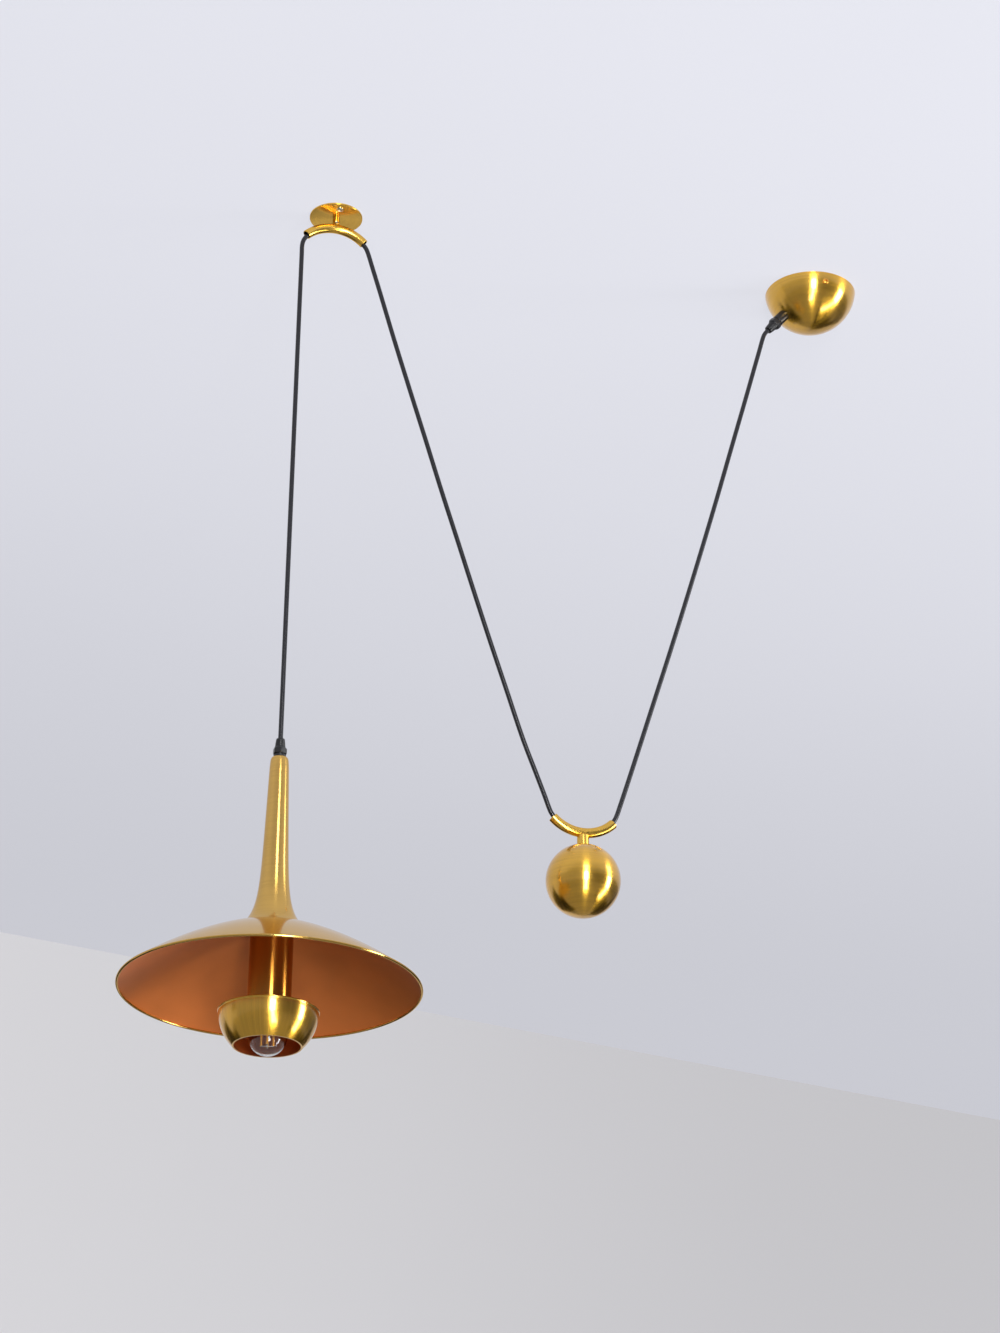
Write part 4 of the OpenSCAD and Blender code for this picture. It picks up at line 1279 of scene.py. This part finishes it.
def only_in_metal(surface):
    """Hides a stage surface from everything but reflections"""
    for rays in ("camera", "diffuse", "transmission", "shadow"):
        setattr(surface, "visible_" + rays, False)


def light_panel(name, at, facing, top, width, height, radiance):
    """Soft light panel of a given brightness at a point, facing one way with its top another"""
    data = bpy.data.lights.new(name, "AREA")
    data.shape = "RECTANGLE"
    data.size, data.size_y = width, height
    data.energy = radiance * math.pi * width * height
    lamp = bpy.data.objects.new(name, data)
    back, top = -Vector(facing).normalized(), Vector(top).normalized()
    turn = Matrix((top.cross(back), top, back)).transposed().to_4x4()
    lamp.matrix_world = Matrix.Translation(at) @ turn
    lamp.visible_camera = False
    bpy.context.scene.collection.objects.link(lamp)


FLOOR_Z = -2.6
ROOM_MIDDLE = Vector((WEIGHT_X, 0, 0))
FLOOR_SHEEN = 0.48
CEILING_SHEEN = 0.26


def window(name, way, distance, width, radiance):
    """Window light as high as the room, with its paler sheen on floor and ceiling before it"""
    way = Vector((*way, 0)).normalized()
    foot = ROOM_MIDDLE + way * distance
    high, reach, narrow = -FLOOR_Z - 0.5, distance * 0.65, width * 0.5
    light_panel(name, foot + UP * FLOOR_Z / 2, -way, UP, width, high, radiance)
    before = foot - way * (reach / 2 + 0.1)
    low, up = before + UP * (FLOOR_Z + 0.15), before - UP * 0.05
    light_panel(name + "_on_floor", low, UP, way, narrow, reach, radiance * FLOOR_SHEEN)
    light_panel(name + "_on_ceiling", up, -UP, way, narrow, reach, radiance * CEILING_SHEEN)


def dark_reflection_sheet(name, across, first, last):
    """Black sheet of painted dark reflection between two places in x, from one (y, z) edge to another, seen
    in metal only
    """
    (x1, x2), (y1, z1), (y2, z2) = across, first, last
    corners = [(x1, y1, z1), (x2, y1, z1), (x2, y2, z2), (x1, y2, z2)]
    only_in_metal(panel(name, corners, "black_cloth"))


class PENDANT_OT_stage(bpy.types.Operator):
    """Adds ceiling, far wall, pale floor, window lights and the sheets of painted reflection that only the
    brass sees
    """

    bl_idname = "pendant.stage"
    bl_label = "Stage"

    def execute(self, context):
        wall_y, wall_turn = 2.89, math.radians(12.81)
        along = Vector((math.cos(wall_turn), math.sin(wall_turn), 0))
        back = Vector((math.sin(wall_turn), -math.cos(wall_turn), 0))
        middle = Vector((0, wall_y, 0))
        left, right = middle - along * 7, middle + along * 7
        down = UP * FLOOR_Z
        panel("ceiling", [left, right, right + back * 10, left + back * 10], "ceiling_paint")
        panel("far_wall", [left + down, right + down, right, left], "wall_paint")
        wide = 60
        corners = [(-wide, -wide), (wide, -wide), (wide, wide), (-wide, wide)]
        panel("floor", [(x, y, FLOOR_Z) for x, y in corners], "floor_paint")

        # Painted reflection: a ceiling sheet seen only in metal, whose glow dims towards the viewer
        near, far, low, high = -7.0, -0.6, -6.0, 6.0
        corners = ((low, near), (low, far), (high, far), (high, near))
        below = -0.01
        only_in_metal(panel("dim_ceiling", [(x, y, below) for x, y in corners], "dim_ceiling_paint"))
        # Painted reflection: a grey floor sheet seen only in metal
        grey_z = FLOOR_Z + 0.05
        corners = ((low, low), (high, low), (high, high), (low, high))
        only_in_metal(panel("grey_cloth", [(x, y, grey_z) for x, y in corners], "grey_cloth"))

        # Walls seen only in metal: a ring of painted reflections round the room
        room_r = 5.6
        turns = [math.radians(180 + 15 * k) for k in range(16)]
        feet = [ROOM_MIDDLE + down + room_r * Vector((math.cos(a), math.sin(a), 0)) for a in turns]
        for k, (a, b) in enumerate(zip(feet, feet[1:])):
            only_in_metal(panel(f"side_wall_{k + 1}", [b, a, a - down, b - down], "side_wall_paint"))
        # Black sheets seen only in metal: painted dark reflections on the floor and upright beyond the lamp
        low_z, high_z, near_y, far_y = FLOOR_Z + 0.1, -1.2, 1.0, 2.1
        for side, across in (("left", (-3.2, -0.5)), ("right", (0.8, 3.0))):
            dark_reflection_sheet("dark_reflection_sheet_" + side, across, (near_y, low_z), (far_y, low_z))
            dark_reflection_sheet("dark_reflection_upright_" + side, across, (far_y, low_z), (far_y, high_z))
        dark_reflection_sheet("dark_reflection_sheet_near", (0.6, 2.4), (-1.1, low_z), (near_y, low_z))

        window("front_window", (-0.13, -0.99), distance=4.5, width=1.0, radiance=24)
        window("side_window", (0.93, -0.367), distance=4.0, width=1.0, radiance=16)

        world = bpy.data.worlds.new("room")
        world.use_nodes = True
        tree = world.node_tree
        seen = add(tree, "ShaderNodeLightPath").outputs["Is Camera Ray"]
        grey = (*linear("#8A8A8C"), 1.0)
        room = add(tree, "ShaderNodeMix", {0: seen, 6: grey, 7: chosen("ceiling")}, data_type="RGBA")
        tree.links.new(room.outputs[2], tree.nodes["Background"].inputs[0])
        context.scene.world = world
        context.scene.view_settings.view_transform = "Standard"
        return {"FINISHED"}


# ---------------------------------------------------------------- add-on


OPERATORS = (
    PENDANT_OT_camera, PENDANT_OT_cords, PENDANT_OT_canopy, PENDANT_OT_side_screws,
    PENDANT_OT_glands, PENDANT_OT_hook, PENDANT_OT_counterweight, PENDANT_OT_stem,
    PENDANT_OT_shade, PENDANT_OT_reflector, PENDANT_OT_bulb, PENDANT_OT_fittings,
    PENDANT_OT_stage,
)


class PENDANT_PT_sidebar(bpy.types.Panel):
    """Lists the parts of the pendant and their settings"""

    bl_idname = "PENDANT_PT_sidebar"
    bl_label = "Rise and Fall Pendant"
    bl_space_type = "VIEW_3D"
    bl_region_type = "UI"
    bl_category = "Pendant"

    def draw(self, context):
        for operator in OPERATORS:
            self.layout.operator(operator.bl_idname)
        for settings in (context.scene.pendant_sizes, context.scene.pendant_colours):
            box = self.layout.box()
            for key in settings.bl_rna.properties.keys():
                if key not in ("rna_type", "name"):
                    box.prop(settings, key)


CLASSES = (PENDANT_PG_sizes, PENDANT_PG_colours, *OPERATORS, PENDANT_PT_sidebar)


def register():
    for cls in CLASSES:
        bpy.utils.register_class(cls)
    bpy.types.Scene.pendant_sizes = PointerProperty(type=PENDANT_PG_sizes)
    bpy.types.Scene.pendant_colours = PointerProperty(type=PENDANT_PG_colours)


def unregister():
    del bpy.types.Scene.pendant_colours
    del bpy.types.Scene.pendant_sizes
    for cls in reversed(CLASSES):
        bpy.utils.unregister_class(cls)


def main():
    """Builds the whole pendant"""
    register()
    for operator in OPERATORS:
        group, name = operator.bl_idname.split(".")
        getattr(getattr(bpy.ops, group), name)()


if __name__ == "__main__":
    main()
